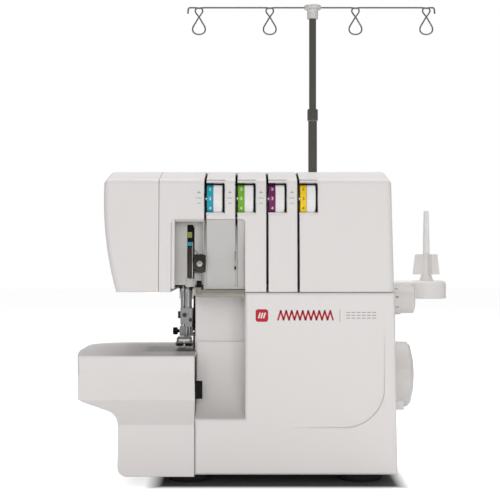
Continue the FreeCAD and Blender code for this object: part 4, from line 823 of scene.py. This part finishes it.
@dataclass
class TensionBank:
    """The four thread tension dials, their windows and the prints beside them."""

    bands: Sequence[Finish] = (TEAL, GREEN, PURPLE, YELLOW)
    inks: Sequence[Finish] = (WHITE_INK, WHITE_INK, WHITE_INK, DARK_INK)
    band_wide: float = 0.0062
    grips: int = 12
    sides: int = 96
    figure_high: float = 0.0042
    figure_stretch: float = 1.25
    figure_turn: float = 32
    # width of the black strips that paint the window's shadow; the dial wheel is narrowed by it
    frame_wide: float = 0.0015
    face_foot: Station = (-0.1225, 0.1849)
    face_head: Station = (-0.113, 0.2925)
    print_gap: float = 0.0076
    prints: Sequence[Point] = (mm(1.7, 0.28, 6.2), mm(0.28, 1.7, 6.2), mm(2.6, 0.28, 0.9),
                               mm(1.7, 0.28, -4.1))

    def build(self) -> None:
        """Build each dial with its band and figures, its window and its prints."""
        for number, (band, ink) in enumerate(zip(self.bands, self.inks), start=1):
            self.build_dial(number, band, ink)
            self.build_prints(number)
            self.build_window(number)

    def build_dial(self, number: int, band: Finish, ink: Finish) -> None:
        """Build one dial.

        Args:
            number: which dial, from the left.
            band: the finish of its coloured band.
            ink: the finish of its figures.
        """
        body = f"dial_{number}"
        low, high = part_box(f"tension_dial_{number}")
        radius = (high.z - low.z) / 2
        centre = Vector((low.x, (low.y + high.y) / 2, (low.z + high.z) / 2))
        edge, wide = self.band_wide, high.x - low.x - self.frame_wide
        wheel = turned(f"dial_wheel_{number}", [
            (radius - 0.0028, edge + 0.0001), (radius - 0.0006, edge + 0.0001),
            (radius - 0.0001, edge + 0.0008), (radius - 0.0001, wide - 0.0008),
            (radius - 0.0009, wide)], self.sides)
        turn = 2 * math.pi / self.grips

        def in_groove(face: bpy.types.MeshPolygon) -> bool:
            angle = math.atan2(face.center.y, face.center.x) % turn
            return abs(face.normal.z) < 0.2 and angle < turn / 8

        wheel.pick(in_groove).run(bpy.ops.mesh.inset, thickness=0.0002, depth=-0.0004)
        wheel.stand(Axis.X, centre).finish(DIAL_WHITE, body, f"tension_dial_{number}", angle=25)
        ring = turned(f"dial_band_{number}", [
            (radius - 0.0010, 0.0002), (radius - 0.0004, 0.0006), (radius - 0.0004, edge - 0.0003),
            (radius - 0.0012, edge)], self.sides)
        ring.stand(Axis.X, centre).finish(band, body, angle=25)
        figures = []
        for figure in range(10):
            flat = flat_text(f"figure_{number}_{figure}", str(figure), self.figure_high, 0.0001)
            flat.move(Matrix.Scale(self.figure_stretch, 4, (1, 0, 0)))
            wrap_round(flat, radius - 0.00035, (3 - figure) * self.figure_turn)
            figures.append(flat.move(Matrix.Translation(centre + Vector((edge * 0.52, 0, 0)))))
        gather(f"dial_figures_{number}", figures).finish(ink, body)

    def build_prints(self, number: int) -> None:
        """Build the plus, the long dash and the short dash left of a slot, and the pointer."""
        low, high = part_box(f"tension_dial_{number}")
        x, level = low.x - self.print_gap, (low.z + high.z) / 2
        bars = []
        for index, (half_wide, half_high, rise) in enumerate(self.prints):
            y, z = self.lean(level + rise), level + rise
            bars.append(block(f"print_{number}_{index}", (x - half_wide, y - 0.0001, z - half_high),
                              (x + half_wide, y + 0.0006, z + half_high)))
        gather(f"tension_prints_{number}", bars).finish(GREY_INK, "root")
        pointer = turned(f"dial_pointer_{number}", [(0.0008, 0), (0.0008, 0.0009), (0.0004, 0.0013)], 16)
        pointer.stand(Axis.Y_BACK, (low.x - 0.0004, low.y + 0.0012, level))
        pointer.finish(WHITE_INK, "root")

    def build_window(self, number: int) -> None:
        """Build the black strips that paint the shadow in the window's gap above and right of a dial, and
        the sill below it.
        """
        low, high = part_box(f"tension_dial_{number}")
        left, right = low.x - 0.0006, high.x + 0.0003
        top, sill = high.z - 0.0029, low.z + 0.0047
        face, foot = self.lean(top), self.lean(sill)
        # Painted shadow: the black post, brow and root stand in for the shadow inside the window's gap
        post = block(f"window_shadow_{number}", (right - self.frame_wide - 0.0001, face - 0.0009, sill),
                     (right, face + 0.0003, top))
        post.pick(lambda part: part.normal.z < -0.9)
        post.run(bpy.ops.transform.translate, value=(0, foot - face, 0))
        brow = block("brow", (left, face - 0.0017, top - 0.0014), (right, face - 0.0006, top))
        root = block("brow_root", (left, face - 0.0008, top - 0.0004), (right, face + 0.0003, top))
        post.join([brow, root]).finish(BLACK, "root")
        ledge = block(f"window_sill_{number}", (left, foot - 0.0001, sill - 0.0024),
                      (right, foot + 0.0010, sill - 0.0002))
        ledge.round_all(0.0002, 2).finish(HOUSING, "root")

    def lean(self, level: float) -> float:
        """Give the head's front face depth at a height."""
        (front, foot), (back, head) = self.face_foot, self.face_head
        return front + (back - front) * (level - foot) / (head - foot)

    def dress(self) -> None:
        """Dress the discs and springs of the tension units."""
        dress(CHROME, "tension_discs")
        dress(PLATE, "tension_springs")


@dataclass
class ThreadRecess:
    """The fittings in the threading recess."""

    wall: float = -0.096
    panel: float = -0.1149
    bar_left: float = -0.0855
    bar_right: float = -0.0797
    slabs: Sequence[Slab] = (
        # a black sheet behind the take-up bar that paints the shade in the slot's opening
        Slab("slot_shadow_back", BLACK, (-85.5, -96.2, 197.8), (-79.7, -95.6, 249.6)),
        Slab("take_up_bar", BROWN_PLATE, (-85.5, -97.0, 197.8), (-79.7, -95.6, 227.9)),
        Slab("take_up_edge", CHROME, (-81.0, -97.6, 197.8), (-79.7, -96.0, 233.0), 0.4, 3),
        Slab("take_up_foot", PANEL, (-87.2, -97.2, 189.0), (-77.9, -95.8, 197.3), 0.5),
        Slab("thread_stop", BLACK, (-75.7, -117.2, 189.6), (-70.6, -114.0, 195.7), 0.5),
        # thread_stub's dark olive-grey is painted shade under the head's lip
        Slab("thread_stub", LIP_SHADE_DEEP, (-75.7, -121.2, 182.2), (-70.7, -115.0, 189.2), 0.6),
        # the top rim strip trims the white housing but is in panel grey, painted shade under the rim
        Slab("recess_rim_top_shaded", PANEL, (-96.6, -115.8, 253.0), (-68.4, -112.0, 255.8), 0.6, 3))
    foot_marks: Sequence[Station] = (mm(-86.1, 195.1), mm(-86.1, 192.1), mm(-79.0, 195.1),
                                     mm(-79.0, 192.1))

    def build(self) -> None:
        """Build the plain fittings, the take-up, the guide plate, the clip and the facings."""
        for slab in self.slabs:
            slab.build()
        self.build_take_up("take_up_tab_upper", OLIVE, 0.2369, 0.2425)
        self.build_take_up("take_up_tab_lower", TEAL, 0.2289, 0.2328)
        marks = [turned(f"foot_dot_{index}", [(0.0004, 0), (0.0003, 0.00015)], 12).stand(
            Axis.Y_BACK, (x, self.wall - 0.0012, z)) for index, (x, z) in enumerate(self.foot_marks)]
        gather("take_up_foot_marks", marks).finish(DARK_INK, "root")
        self.build_guide()
        self.build_clip()
        self.build_lip()
        self.build_leaning("recess_rim_left", HOUSING, mm(-99.8, -121.7, 188.0), mm(-96.4, -116.5, 255.6),
                           0.0060, 0.0006, 3)
        for number, x in enumerate((-67.2, -37.6), start=1):
            self.build_leaning(f"groove_floor_{number}", PANEL, mm(x - 1, -113.4, 187.6),
                               mm(x + 1, -108.0, 248.5), 0.0079, 0.0001, 1)

    def build_take_up(self, name: str, coat: Finish, low: float, high: float) -> None:
        """Build a coloured tab on the take-up bar with the small wire eye in front of it.

        Args:
            name: the tab's name.
            coat: its finish.
            low: its lower edge's height.
            high: its upper edge's height.
        """
        left, wall, middle = self.bar_left, self.wall, (low + high) / 2
        tab = block(name, (left + 0.0003, wall - 0.0022, low), (self.bar_right - 0.0009, wall, high))
        tab.pick(lambda face: face.normal.y < -0.9).sink(0.0008, -0.0006)
        tab.round_all(0.0003, 2).finish(coat, "root")
        eye = bent_wire(f"{name}_eye", [
            (left + 0.0012 + 0.00075 * k, wall - 0.0024 - 0.0010 * (k % 2),
             middle + 0.0009 * math.sin(k * 1.7)) for k in range(5)], 0.00035)
        eye.finish(CHROME, "root")

    def build_guide(self) -> None:
        """Build the screwed guide plate with its bright lip and its spring wire."""
        y = self.panel
        plate = block("guide_plate", (-0.0775, y + 0.0004, 0.2032), (-0.0668, y + 0.0044, 0.2210))
        plate.pick_edges(lambda a, b: abs(a.y - b.y) > 0.001).bevel(0.0007, 3)
        plate.pick(lambda face: face.normal.y < -0.9).sink(0.0009, -0.0004)
        plate.round_all(0.0003, 2).finish(BROWN_PLATE, "root", "front_thread_guides")
        lip = bent_wire("guide_lip", [
            (-0.0700, y, 0.2029), (-0.0668, y, 0.2030), (-0.0663, y - 0.0008, 0.2060),
            (-0.0663, y - 0.0010, 0.2120), (-0.0663, y - 0.0008, 0.2185), (-0.0668, y, 0.2212),
            (-0.0700, y, 0.2213)], 0.0006)
        lip.finish(CHROME, "root")
        screw = pan_screw("guide_screw", 0.0031, 0.0014)
        screw.stand(Axis.Y_BACK, (-0.0727, y, 0.2119)).finish(CHROME, "root")
        spring = bent_wire("guide_spring", [
            (-0.0797, self.wall - 0.0010, 0.2275), (-0.0780, y + 0.003, 0.2255),
            (-0.0760, y, 0.2235), (-0.0738, y, 0.2212)], 0.0003)
        spring.finish(DARK_STEEL, "root")

    def build_clip(self) -> None:
        """Build the spring clip on the second slot, with its black head and tip."""
        y = self.panel + 0.0006
        clip = bent_wire("slot_clip", [
            (-0.0386, y, 0.2235), (-0.0383, y - 0.0010, 0.2205), (-0.0388, y - 0.0016, 0.2160),
            (-0.0382, y - 0.0012, 0.2120), (-0.0386, y, 0.2090)], 0.0006)
        clip.finish(CHROME, "root")
        tip = block("slot_clip_tip", (-0.0393, y - 0.0012, 0.2064), (-0.0377, y + 0.0014, 0.2091))
        head = block("slot_clip_head", (-0.0390, y - 0.0008, 0.2222), (-0.0379, y + 0.0014, 0.2236))
        tip.join([head]).round_all(0.0003, 2).finish(BLACK, "root")

    def build_lip(self) -> None:
        """Build the two facing strips along the recess's lower lip, in dark olive-grey that paints the
        shade under the lip, darker in the upper strip.
        """
        low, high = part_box("thread_panel")
        for name, coat, foot, head, out in (("lip_strip_upper", LIP_SHADE_DEEP, 0.1836, 0.1869, 0.0003),
                                            ("lip_strip_lower", LIP_SHADE_SOFT, 0.1801, 0.1834, 0.0005)):
            strip = block(name, (-0.0759, low.y - out, foot), (-0.0294, low.y + 0.0014, head))
            strip.round_all(0.0004, 3).finish(coat, "root")

    def build_leaning(self, name: str, coat: Finish, low: Point, high: Point, lean: float,
                      rounding: float, segments: int) -> None:
        """Build a facing that leans back with the head.

        Args:
            name: the piece's name.
            coat: its finish.
            low: its lower corner.
            high: its upper corner before it leans.
            lean: how far its top goes back.
            rounding: the radius of its edges.
            segments: the segments of that rounding.
        """
        facing = block(name, low, high)
        facing.pick(lambda face: face.normal.z > 0.9)
        facing.run(bpy.ops.transform.translate, value=(0, lean, 0))
        facing.round_all(rounding, segments).finish(coat, "root")

    def dress(self) -> None:
        """Dress the panel behind the fittings."""
        dress(PANEL, "thread_panel")


def pan_screw(name: str, radius: float, height: float) -> Piece:
    """Turn a pan-headed screw with a straight slot, standing on Z."""
    head = turned(name, [(radius, 0), (radius, height * 0.4), (radius * 0.9, height * 0.75),
                         (radius * 0.6, height)], 28)
    cutter = block("slot", (-radius * 1.2, -radius * 0.14, height * 0.5),
                   (radius * 1.2, radius * 0.14, height * 2))
    return head.carve(cutter)


@dataclass
class StitchHead:
    """The needles, presser foot, knives, feed dogs and lifter."""

    coil_turns: int = 9
    coil_wire: float = 0.0008

    def build(self) -> None:
        """Build the presser spring, the thumb screw, the foot's frame and the dark brackets."""
        self.build_spring()
        self.build_thumb_screw()
        self.build_foot_frame()
        self.build_brackets()

    def build_spring(self) -> None:
        """Wind the presser spring with a screw modifier from a small ring."""
        low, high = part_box("presser_spring")
        wire = self.coil_wire
        centre = Vector(((low.x + high.x) / 2, (low.y + high.y) / 2, low.z + wire))
        radius = (high.x - low.x) / 2 - wire
        pitch = (high.z - low.z - 2 * wire) / self.coil_turns
        coil = Piece("presser_coil", bpy.ops.mesh.primitive_circle_add, vertices=8, radius=wire,
                     location=(radius, 0, 0), rotation=(math.pi / 2, 0, 0))
        coil.modify("SCREW", axis="Z", screw_offset=pitch, iterations=self.coil_turns,
                    steps=20, render_steps=20, use_merge_vertices=True)
        coil.pick_edges(lambda a, b: False)
        coil.run(bpy.ops.mesh.select_non_manifold, edges=True)
        coil.run(bpy.ops.mesh.edge_face_add, edges=True)
        coil.outward().move(Matrix.Translation(centre)).finish(PLATE, "root", "presser_spring")

    def build_thumb_screw(self) -> None:
        """Build the foot holder's ribbed thumb screw."""
        low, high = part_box("foot_screw")
        r, wide = (high.z - low.z) / 2, high.x - low.x
        thumb = turned("foot_thumb_screw", [
            (r * 0.7, 0), (r, 0.0004), (r, wide * 0.62), (r * 0.85, wide * 0.7),
            (r * 0.45, wide * 0.72), (r * 0.45, wide)], 36)
        thumb.pick(lambda face: abs(face.normal.z) < 0.2 and face.index % 2 == 0
                   and face.center.xy.length > r * 0.9)
        thumb.sink(0.00006, 0.00035)
        thumb.stand(Axis.X, (low.x, (low.y + high.y) / 2, (low.z + high.z) / 2))
        thumb.finish(BLACK, "presser_bar_group", "foot_screw", angle=25)

    def build_foot_frame(self) -> None:
        """Build the bright frame at the foot's front and the pale insert in it."""
        frame = block("foot_frame", mm(-98.2, -57.0, 130.4), mm(-82.9, -44.5, 137.6))
        frame.pick_edges(lambda a, b: abs(a.y - b.y) > 0.01).bevel(0.0018, 4)
        frame.pick(lambda face: face.normal.y < -0.9).sink(0.0016, 0.0040)
        frame.round_all(0.0003, 2).finish(CHROME, "presser_foot_body")
        Slab("foot_insert", STAND, (-96.2, -55.4, 131.8), (-84.9, -52.0, 135.4), 0.5,
             body="presser_foot_body").build()

    def build_brackets(self) -> None:
        """Build the dark knife arm beside the clamp and the tapered bar guide above it."""
        arm = block("knife_arm", mm(-82.9, -28.0, 142.0), mm(-79.4, -18.0, 178.0))
        arm.pick(lambda face: face.normal.z > 0.9).resize((0.7, 0.6, 1), mm(-81.2, -23, 178))
        arm.pick(lambda face: face.normal.y < -0.9).sink(0.0008, 0.0010)
        arm.round_all(0.0004, 2).finish(BLACK, "root")
        guide = block("bar_guide", mm(-98.0, -13.2, 163.0), mm(-84.0, -9.4, 187.0))
        guide.pick(lambda face: face.normal.z < -0.9).resize((0.45, 0.8, 1), mm(-88, -11, 163))
        guide.round_all(0.0005, 2).finish(DARK_STEEL, "root")

    def dress(self) -> None:
        """Dress the CAD nodes of the sewing area."""
        dress(CHROME, "needle_bar", "needles", "presser_bar", "presser_foot")
        dress(PLATE, "needle_plate", "foot_holder", "needle_clamp", "feed_dogs",
              "lower_looper", "upper_looper", "needle_plate_screws", "lifter_lever")
        dress(DARK_STEEL, "upper_knife", "lower_knife", "foot_screw", "needle_clamp_screws")
        dress(BLACK, "lifter_grip")
        dress(LENS, "sewing_lamp")


@dataclass
class SideControls:
    """The stitch length dial, handwheel, switch, inlet, motor and belt."""

    wheel_grips: int = 60
    dial_seat: float = 0.1146
    dial_sides: int = 96
    dial_labels: str = "R1234F123"
    label_turn: float = 40
    label_start: float = 12
    label_out: float = 0.0031
    rocker_dip: float = 0.0008

    def build(self) -> None:
        """Build the turned controls and the rocker."""
        self.build_wheel()
        self.build_stitch_dial()
        self.build_rocker()

    def build_wheel(self) -> None:
        """Build the handwheel with its faint grip ribs and domed face."""
        low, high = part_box("handwheel")
        r, deep = (high.z - low.z) / 2, high.x - low.x
        wheel = turned("handwheel_grip", [
            (r - 0.0016, 0), (r, 0.0016), (r, deep - 0.0078), (r - 0.0004, deep - 0.0068),
            (r - 0.0018, deep - 0.0058), (r * 0.9, deep - 0.0042), (r * 0.88, deep - 0.0044),
            (r * 0.80, deep - 0.0034), (r * 0.6, deep - 0.0018), (r * 0.35, deep - 0.0006),
            (r * 0.12, deep)], self.wheel_grips * 2)

        def in_groove(face: bpy.types.MeshPolygon) -> bool:
            angle = math.atan2(face.center.y, face.center.x)
            side = int(round(angle / math.pi * self.wheel_grips - 0.5))
            return abs(face.normal.z) < 0.05 and face.center.xy.length > r * 0.98 and side % 2 == 0

        wheel.pick(in_groove)
        wheel.run(bpy.ops.mesh.inset, thickness=0.0003, depth=-0.00008, use_individual=True)
        wheel.stand(Axis.X, (low.x, (low.y + high.y) / 2, (low.z + high.z) / 2))
        wheel.finish(CONTROL, "drive_shaft", "handwheel", angle=28)

    def build_stitch_dial(self) -> None:
        """Build the stitch length dial with faint ribs and its figures."""
        low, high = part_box("stitch_length_dial")
        start = max(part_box("belt_cover")[1].x, self.dial_seat)
        r, long = (high.z - low.z) / 2, high.x - start
        centre = Vector((start, (low.y + high.y) / 2, (low.z + high.z) / 2))
        knob = turned("stitch_knob", [
            (r - 0.0004, 0), (r, 0.0005), (r, 0.0072), (r - 0.0012, 0.0076),
            (r - 0.0012, long - 0.0025), (r - 0.0014, long - 0.0012), (r - 0.0024, long - 0.0004),
            (r - 0.0040, long), (r * 0.35, long)], self.dial_sides)

        def in_rib(face: bpy.types.MeshPolygon) -> bool:
            angle = math.atan2(face.center.y, face.center.x) % (2 * math.pi)
            side = int(angle / math.pi * self.dial_sides / 2)
            return abs(face.normal.z) < 0.05 and face.center.z > 0.0078 and side % 4 == 0

        knob.pick(in_rib)
        knob.run(bpy.ops.mesh.inset, thickness=0.0001, depth=-0.00012, use_individual=True)
        knob.stand(Axis.X, centre)
        knob.finish(CONTROL, "stitch_dial", "stitch_length_dial", angle=25)
        figures = []
        for index, label in enumerate(self.dial_labels):
            flat = flat_text(f"stitch_figure_{index}", label, 0.0046, 0.0001)
            flat.move(Matrix.Rotation(math.pi / 2, 4, "Z"))
            wrap_round(flat, r + 0.00003, (index - 4) * self.label_turn + self.label_start)
            figures.append(flat.move(Matrix.Translation(centre + Vector((self.label_out, 0, 0)))))
        gather("stitch_figures", figures).finish(DARK_INK, "stitch_dial")

    def build_rocker(self) -> None:
        """Build the power rocker with its two slopes."""
        low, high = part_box("power_switch")
        rocker = block("power_rocker", low, high)
        rocker.pick(lambda face: face.normal.x > 0.9).run(bpy.ops.mesh.subdivide, number_cuts=1)
        middle = (low.z + high.z) / 2
        for vertex in rocker.obj.data.vertices:
            if vertex.co.x > high.x - 1e-5 and abs(vertex.co.z - middle) < 1e-4:
                vertex.co.x -= self.rocker_dip
        rocker.round_all(0.0006, 3, 20).finish(CONTROL, "rocker", "power_switch")

    def dress(self) -> None:
        """Dress the drive and the inlet."""
        dress(BLACK, "power_inlet")
        dress(MOTOR_PAINT, "motor")
        dress(BELT, "drive_belt")
        dress(PULLEY, "motor_pulley", "drive_pulley")
        dress(CHROME, "main_shaft")


@dataclass
class SpoolStand:
    """The stand with its pins and the vaned cone holders."""

    vane_angles: Sequence[float] = (20, 110, 200, 290)
    vane_thick: float = 0.0020
    vane_root: float = 0.002
    vane_foot: float = 0.1974

    def build(self) -> None:
        """Build one cone holder and copy it onto every pin."""
        low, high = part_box("cone_holders")
        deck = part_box("spool_stand")[1].z
        reach, half, inner = (high.y - low.y) / 2, self.vane_thick / 2, self.vane_root
        foot, top = self.vane_foot - deck, high.z - deck
        hub = turned("cone_holder", [
            (0.0078, 0), (0.0074, 0.0012), (0.0054, foot), (0.0050, foot + 0.004),
            (0.0046, top - 0.0004), (0.0042, top)], 40)
        vanes = []
        for index, angle in enumerate(self.vane_angles):
            vane = block(f"vane_{index}", (inner, -half, foot), (reach, half, top))
            vane.pick(lambda face: face.normal.z > 0.9).resize((0.80, 0.8, 1), (inner, 0, top))
            vane.round_all(0.0006, 3)
            vanes.append(vane.move(Matrix.Rotation(math.radians(angle), 4, "Z")))
        hub.join(vanes)
        holders = [hub.copy(f"cone_holder_{i}", Matrix.Translation((x, (low.y + high.y) / 2, deck)))
                   for i, x in enumerate(self.pin_places(), start=1)]
        hub.discard()
        gather("cone_holder_set", holders).finish(STAND, "root", "cone_holders")

    @staticmethod
    def pin_places() -> list[float]:
        """Give the X of the four pins."""
        low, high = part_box("cone_holders")
        reach = (high.y - low.y) / 2
        ends = low.x + reach, high.x - reach
        inner = (ends[1] - ends[0]) * 0.3115
        return [ends[0], ends[0] + inner, ends[1] - inner, ends[1]]

    def dress(self) -> None:
        """Dress the stand and its pins."""
        dress(STAND, "spool_stand")
        dress(DIAL_WHITE, "spool_pins")


@dataclass
class ThreadTree:
    """The telescopic pole, its cap and the bent guide wires."""

    loop_half: float = 0.0042
    drop_half: float = 0.0069
    tail: float = 0.0068

    def build(self) -> None:
        """Build the guide wires as one bent wire and four hooks."""
        low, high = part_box("guide_wires")
        radius = (high.y - low.y) / 2
        y, level = (high.y + low.y) / 2, high.z - radius
        ends = low.x + radius, high.x - radius
        elbow = ((0.0, self.tail), (0.0002, 0.0028), (0.0008, 0.0003), (0.0034, 0.0))
        line: list[Point] = [(ends[0] + inward, y, level - drop) for inward, drop in elbow]
        for x in SpoolStand.pin_places():
            line += [(x - 0.009, y, level), (x - 0.004, y, level), (x, y, level - 0.0008),
                     (x + 0.004, y, level), (x + 0.009, y, level)]
        line += [(ends[1] - inward, y, level - drop) for inward, drop in reversed(elbow)]
        bar = bent_wire("guide_wire_set", line, radius)
        hook = self.build_hook(y, level, low.z, radius * 0.92)
        hooks = [hook.copy(f"hook_{i}", Matrix.Translation((x, 0, 0)))
                 for i, x in enumerate(SpoolStand.pin_places())]
        hook.discard()
        bar.join(hooks).finish(WIRE, "thread_tree", "guide_wires")

    def build_hook(self, y: float, level: float, bottom: float, radius: float) -> Piece:
        """Bend one figure-of-eight hook.

        Args:
            y: the wire's depth.
            level: the bar's height.
            bottom: the hook's lowest point.
            radius: the wire's radius.

        Returns:
            The hook, at X 0.
        """
        a, b, low = self.loop_half, self.drop_half, bottom + radius
        near, far = y - radius * 0.6, y + radius * 0.6
        shape = [(-0.0008, y, level), (-a * 0.75, y, level - 0.0008), (-a * 1.12, y, level - 0.0040),
                 (-a * 0.42, near, level - 0.0083), (0.0006, near, level - 0.0112),
                 (b * 0.55, near, level - 0.0170), (b * 1.05, y, level - 0.0222),
                 (b * 1.02, y, low + 0.0030), (b * 0.45, y, low), (-b * 0.45, y, low),
                 (-b * 1.02, y, low + 0.0030), (-b * 1.05, y, level - 0.0222),
                 (-b * 0.55, far, level - 0.0170), (-0.0006, far, level - 0.0112),
                 (a * 0.42, far, level - 0.0083), (a * 1.12, y, level - 0.0040),
                 (a * 0.75, y, level - 0.0008), (0.0008, y, level)]
        return bent_wire("hook", shape, radius, detail=5)

    def dress(self) -> None:
        """Dress the tubes and the cap."""
        dress(POLE_CHROME, "pole_lower_tube", "pole_upper_tube")
        dress(CONTROL, "guide_cap")


@dataclass
class Studio:
    """The floor, the light and the camera."""

    eye: Point = (-0.0244, -1.325, 0.225)
    aim: Point = (0.0, 0.0, 0.2)
    lens: float = 90.9
    sky_light: float = 0.22
    sky_gleam: float = 0.40
    floor_size: float = 12
    patch_centre: Point = (0.003, -0.02, 0.0)
    patch_reach: Point = (0.115, 0.105, 1.0)
    patch_edge: Station = (0.97, 1.12)
    # how dark the painted shadow under the machine makes the paper's colour
    patch_shade: float = 0.18
    paper_glow: float = 0.75
    lamps: Sequence[tuple[str, Point, float, float]] = (
        ("frontal", (0.0, -3.0, 0.8), 2.0, 32.0), ("fill", (0.2, -3.0, 0.35), 1.2, 17.0),
        ("overhead", (0.1, 0.55, 1.6), 1.2, 26.0))

    def build(self) -> None:
        """Lay the floor, hang the lights and set the camera."""
        floor = Piece("studio_floor", bpy.ops.mesh.primitive_plane_add, size=self.floor_size)
        floor.pick(lambda face: True).run(bpy.ops.mesh.subdivide, number_cuts=6)
        floor.obj.data.materials.append(self.paper())
        bpy.context.scene.world = self.sky()
        for name, place, size, power in self.lamps:
            bpy.ops.object.light_add(type="AREA", location=place)
            lamp = bpy.context.active_object
            lamp.name = name
            lamp.data.size = size
            lamp.data.energy = power
            lamp.visible_glossy = False
            lamp.rotation_euler = (Vector(self.aim) - Vector(place)).to_track_quat("-Z", "Y").to_euler()
        bpy.ops.object.camera_add(location=self.eye, rotation=(math.pi / 2, 0, 0))
        camera = bpy.context.active_object
        camera.data.lens = self.lens
        camera.data.sensor_width = 36
        camera.data.clip_end = 50
        bpy.context.scene.camera = camera
        bpy.context.scene.view_settings.view_transform = "Standard"

    def sky(self) -> bpy.types.World:
        """Make a world that looks white but lights and reflects more softly."""
        world = bpy.data.worlds.new("studio_light")
        world.use_nodes = True
        tree = world.node_tree
        background = tree.nodes["Background"]
        background.inputs["Color"].default_value = (1, 1, 1, 1)
        ray = add_node(tree, "LightPath")
        soft = add_node(tree, "MapRange")
        soft.inputs["To Min"].default_value = self.sky_light
        soft.inputs["To Max"].default_value = self.sky_gleam
        seen = add_node(tree, "Math", operation="MAXIMUM")
        join_sockets(
            tree,
            (ray.outputs["Is Glossy Ray"], soft.inputs["Value"]), (soft.outputs[0], seen.inputs[0]),
            (ray.outputs["Is Camera Ray"], seen.inputs[1]),
            (seen.outputs[0], background.inputs["Strength"]))
        return world

    def paper(self) -> bpy.types.Material:
        """Make the floor's white paper, which glows for the camera away from the machine and has a painted
        shadow, a darker base colour, under the machine.
        """
        pale = Finish("floor_paper", "", (0.93, 0.93, 0.93), 0.8, Skin.PRINTED, wear=0.0)
        material = pale.material()
        tree = material.node_tree
        shader = tree.nodes["Principled BSDF"]
        shader.inputs["Emission Color"].default_value = (1, 1, 1, 1)
        place = add_node(tree, "TexCoord")
        shift = add_node(tree, "VectorMath", operation="SUBTRACT")
        shift.inputs[1].default_value = self.patch_centre
        shrink = add_node(tree, "VectorMath", operation="DIVIDE")
        shrink.inputs[1].default_value = self.patch_reach
        size = add_node(tree, "VectorMath", operation="ABSOLUTE")
        split = add_node(tree, "SeparateXYZ")
        far = add_node(tree, "Math", operation="MAXIMUM")
        shade = add_node(tree, "MixRGB", blend_type="MULTIPLY")
        shade.inputs["Fac"].default_value = 1.0
        # dark paints the shadow under the machine into the paper's base colour; glow brightens the paper
        # for the camera outside that patch
        dark, glow = add_node(tree, "MapRange"), add_node(tree, "MapRange")
        for ramp, low, high in ((dark, self.patch_shade, 1.0), (glow, 0.0, self.paper_glow)):
            ramp.inputs["From Min"].default_value, ramp.inputs["From Max"].default_value = self.patch_edge
            ramp.inputs["To Min"].default_value = low
            ramp.inputs["To Max"].default_value = high
            join_sockets(tree, (far.outputs[0], ramp.inputs["Value"]))
        ray = add_node(tree, "LightPath")
        shown = add_node(tree, "Math", operation="MULTIPLY")
        plain = shader.inputs["Base Color"].links[0].from_socket
        join_sockets(
            tree,
            (place.outputs["Object"], shift.inputs[0]), (shift.outputs[0], shrink.inputs[0]),
            (shrink.outputs[0], size.inputs[0]), (size.outputs[0], split.inputs[0]),
            (split.outputs["X"], far.inputs[0]), (split.outputs["Y"], far.inputs[1]),
            (plain, shade.inputs["Color1"]), (dark.outputs[0], shade.inputs["Color2"]),
            (shade.outputs[0], shader.inputs["Base Color"]), (glow.outputs[0], shown.inputs[0]),
            (ray.outputs["Is Camera Ray"], shown.inputs[1]),
            (shown.outputs[0], shader.inputs["Emission Strength"]))
        return material

    def dress(self) -> None:
        """Leave the CAD nodes alone, because none of them belongs to the stage."""


def main() -> None:
    """Build every sub-assembly."""
    logging.basicConfig(level=logging.INFO, format="%(name)s %(message)s")
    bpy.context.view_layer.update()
    parts = (Housing(), TensionBank(), ThreadRecess(), StitchHead(), SideControls(), SpoolStand(),
             ThreadTree(), Studio())
    for part in parts:
        part.build()
        part.dress()
        log.info("%s is done", type(part).__name__)


if __name__ == "__main__":
    main()
